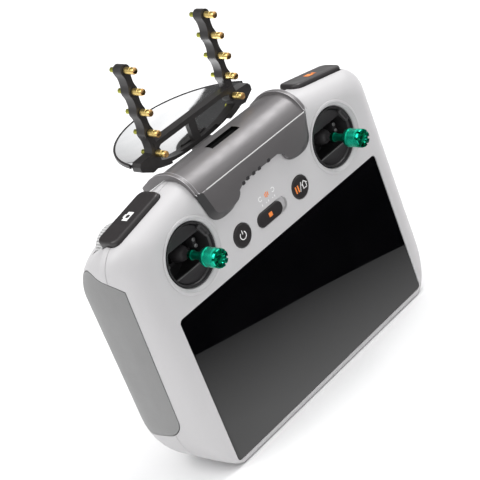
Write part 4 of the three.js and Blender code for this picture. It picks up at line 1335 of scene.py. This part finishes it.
def case_screw(name, x, z):
    """A countersunk case screw with a cross recess."""
    centre = Vector((x, FACE_Y + BODY_DEPTH, z))
    profile = [(0, -15), (1.1, -15), (1.1, -1.8), (2.2, -1.8), (2.2, -0.7), (1.8, -0.42), (0, -0.4)]
    screw = turned(name, in_mm(profile), centre, 32)
    for half_x, half_z in ((1.3, 0.28), (0.28, 1.3)):
        carve(screw, [block("recess", (x - half_x * MM, centre.y - 1.3 * MM, z - half_z * MM),
                            (x + half_x * MM, centre.y, z + half_z * MM))])
    return smooth(screw)


for level, z in SCREW_LEVELS.items():
    for side_name, side in (("left", -1), ("right", 1)):
        piece = case_screw(f"case_screw_{level}_{side_name}", side * SCREW_X, z)
        finish_piece(piece, STEEL, "housing", [f"screw_{level}_{side_name}"])

INSIDE = {
    "display_panel": INNER_BLACK,
    "mid_frame": INNER_METAL,
    "main_board": BOARD,
    "heat_sink": INNER_METAL,
    "cooling_fan": INNER_BLACK,
    "speaker": INNER_BLACK,
    "charge_port": STEEL,
    "battery_cell_left": CELL_WRAP,
    "battery_cell_right": CELL_WRAP,
}
for node, material in INSIDE.items():
    materials = frame["nodes"][node].data.materials
    materials.clear()
    materials.append(material)


# ---------------------------------------------------------------- floor, light and camera

def floor():
    piece = block("floor", (-6, -6, -0.02), (6, 6, 0))
    paper = Surface("floor_paper")
    paper.set_inputs(Roughness=0.85)
    paper.tone(paper.noise(3), (0.83, 0.83, 0.835), (0.86, 0.86, 0.865))
    piece.data.materials.append(paper.material)


def area_light(name, place, target, size, power):
    data = bpy.data.lights.new(name, "AREA")
    data.energy = power
    data.size = size
    lamp = bpy.data.objects.new(name, data)
    bpy.context.scene.collection.objects.link(lamp)
    lamp.location = place
    lamp.rotation_euler = (Vector(target) - Vector(place)).to_track_quat("-Z", "Y").to_euler()


CAMERA_PLACE = Vector((-0.3867, -0.4834, 0.3562))
CAMERA_RIGHT = Vector((0.63145, -0.69846, -0.33679))
CAMERA_UP = Vector((0.53247, 0.07484, 0.84313))


def camera():
    right = CAMERA_RIGHT.normalized()
    back = right.cross(CAMERA_UP).normalized()
    up = back.cross(right)
    data = bpy.data.cameras.new("camera")
    data.lens = 116.8
    data.sensor_width = 36
    view = bpy.data.objects.new("camera", data)
    bpy.context.scene.collection.objects.link(view)
    view.matrix_world = Matrix((
        (right.x, up.x, back.x, CAMERA_PLACE.x),
        (right.y, up.y, back.y, CAMERA_PLACE.y),
        (right.z, up.z, back.z, CAMERA_PLACE.z),
        (0, 0, 0, 1),
    ))
    bpy.context.scene.camera = view


def world():
    scene = bpy.context.scene
    scene.world = bpy.data.worlds.new("studio")
    scene.world.use_nodes = True
    background = scene.world.node_tree.nodes["Background"]
    background.inputs["Color"].default_value = (1, 1, 1, 1)
    nodes, links = scene.world.node_tree.nodes, scene.world.node_tree.links
    coords = nodes.new("ShaderNodeTexCoord")
    parts = nodes.new("ShaderNodeSeparateXYZ")
    rise = nodes.new("ShaderNodeMapRange")
    rise.inputs["To Min"].default_value = 0.55
    rise.inputs["To Max"].default_value = 1.2
    links.new(coords.outputs["Generated"], parts.inputs["Vector"])
    links.new(parts.outputs["Z"], rise.inputs["Value"])
    links.new(rise.outputs["Result"], background.inputs["Strength"])
    scene.view_settings.view_transform = "Standard"


def reflected(x, z, height):
    """Where the camera sees a level plane reflected in the glass at a point of the glass."""
    place = Vector((CAMERA_PLACE.x, 2 * FACE_Y - CAMERA_PLACE.y, CAMERA_PLACE.z))
    glass_point = Vector((x, FACE_Y, z))
    return place + (glass_point - place) * (place.z - height) / (place.z - z)


def reflected_card():
    """A card just above the floor that only shows in reflections: dark, then lighter towards the screen."""
    height = 0.5 * MM
    near = FACE_Y - 1 * MM
    corners = [(-1, -0.8, height), (1, -0.8, height), (1, near, height), (-1, near, height)]
    card = from_faces("card", corners, [(0, 1, 2, 3)])
    start = reflected(-66.5 * MM, 59.2 * MM, height)
    end = reflected(66.6 * MM, 22.8 * MM, height)
    along = (end - start).normalized()
    towards = Vector((-along.y, along.x, 0))
    edge = start.dot(towards)
    surface = Surface("card_glow")
    surface.nodes.clear()
    coords = surface.node("ShaderNodeTexCoord")
    distance = surface.node("ShaderNodeVectorMath")
    distance.operation = "DOT_PRODUCT"
    distance.inputs[1].default_value = towards
    fade = {"From_Min": edge, "From_Max": edge + 85 * MM, "To_Min": 0.45, "To_Max": 1.45}
    ramp = surface.node("ShaderNodeMapRange", **fade)
    beyond = surface.node("ShaderNodeMath")
    beyond.operation = "GREATER_THAN"
    beyond.inputs[1].default_value = edge
    strength = surface.node("ShaderNodeMath")
    strength.operation = "MULTIPLY"
    glow = surface.node("ShaderNodeEmission")
    output = surface.node("ShaderNodeOutputMaterial")
    surface.link(coords.outputs["Object"], distance.inputs[0])
    surface.link(distance.outputs["Value"], ramp.inputs["Value"])
    surface.link(distance.outputs["Value"], beyond.inputs[0])
    surface.link(ramp.outputs["Result"], strength.inputs[0])
    surface.link(beyond.outputs["Value"], strength.inputs[1])
    surface.link(strength.outputs["Value"], glow.inputs["Strength"])
    surface.link(glow.outputs["Emission"], output.inputs["Surface"])
    card.data.materials.append(surface.material)
    only_in_reflections(card)


def only_in_reflections(piece):
    piece.visible_camera = False
    piece.visible_diffuse = False
    piece.visible_shadow = False


def dark_flag():
    """A black cloth behind the booster, which the mirror picks up on its right half."""
    x0, x1, y, z0, z1 = -0.6, 0.86, 0.9, 0.2, 2.6
    flag = from_faces("flag", [(x0, y, z0), (x1, y, z0), (x1, y, z1), (x0, y, z1)], [(0, 1, 2, 3)])
    cloth = Surface("flag_cloth")
    cloth.set_inputs(Roughness=0.9)
    cloth.tone(cloth.noise(40), (0.035, 0.035, 0.035), (0.06, 0.06, 0.06))
    flag.data.materials.append(cloth.material)
    only_in_reflections(flag)


floor()
reflected_card()
dark_flag()
world()
camera()
area_light("key", (-0.9, 0.3, 1.4), (0, 0, 0.08), 0.8, 9)
area_light("roof_glint", (0.57, -0.10, 0.95), (0, 0, 0.12), 0.5, 6)
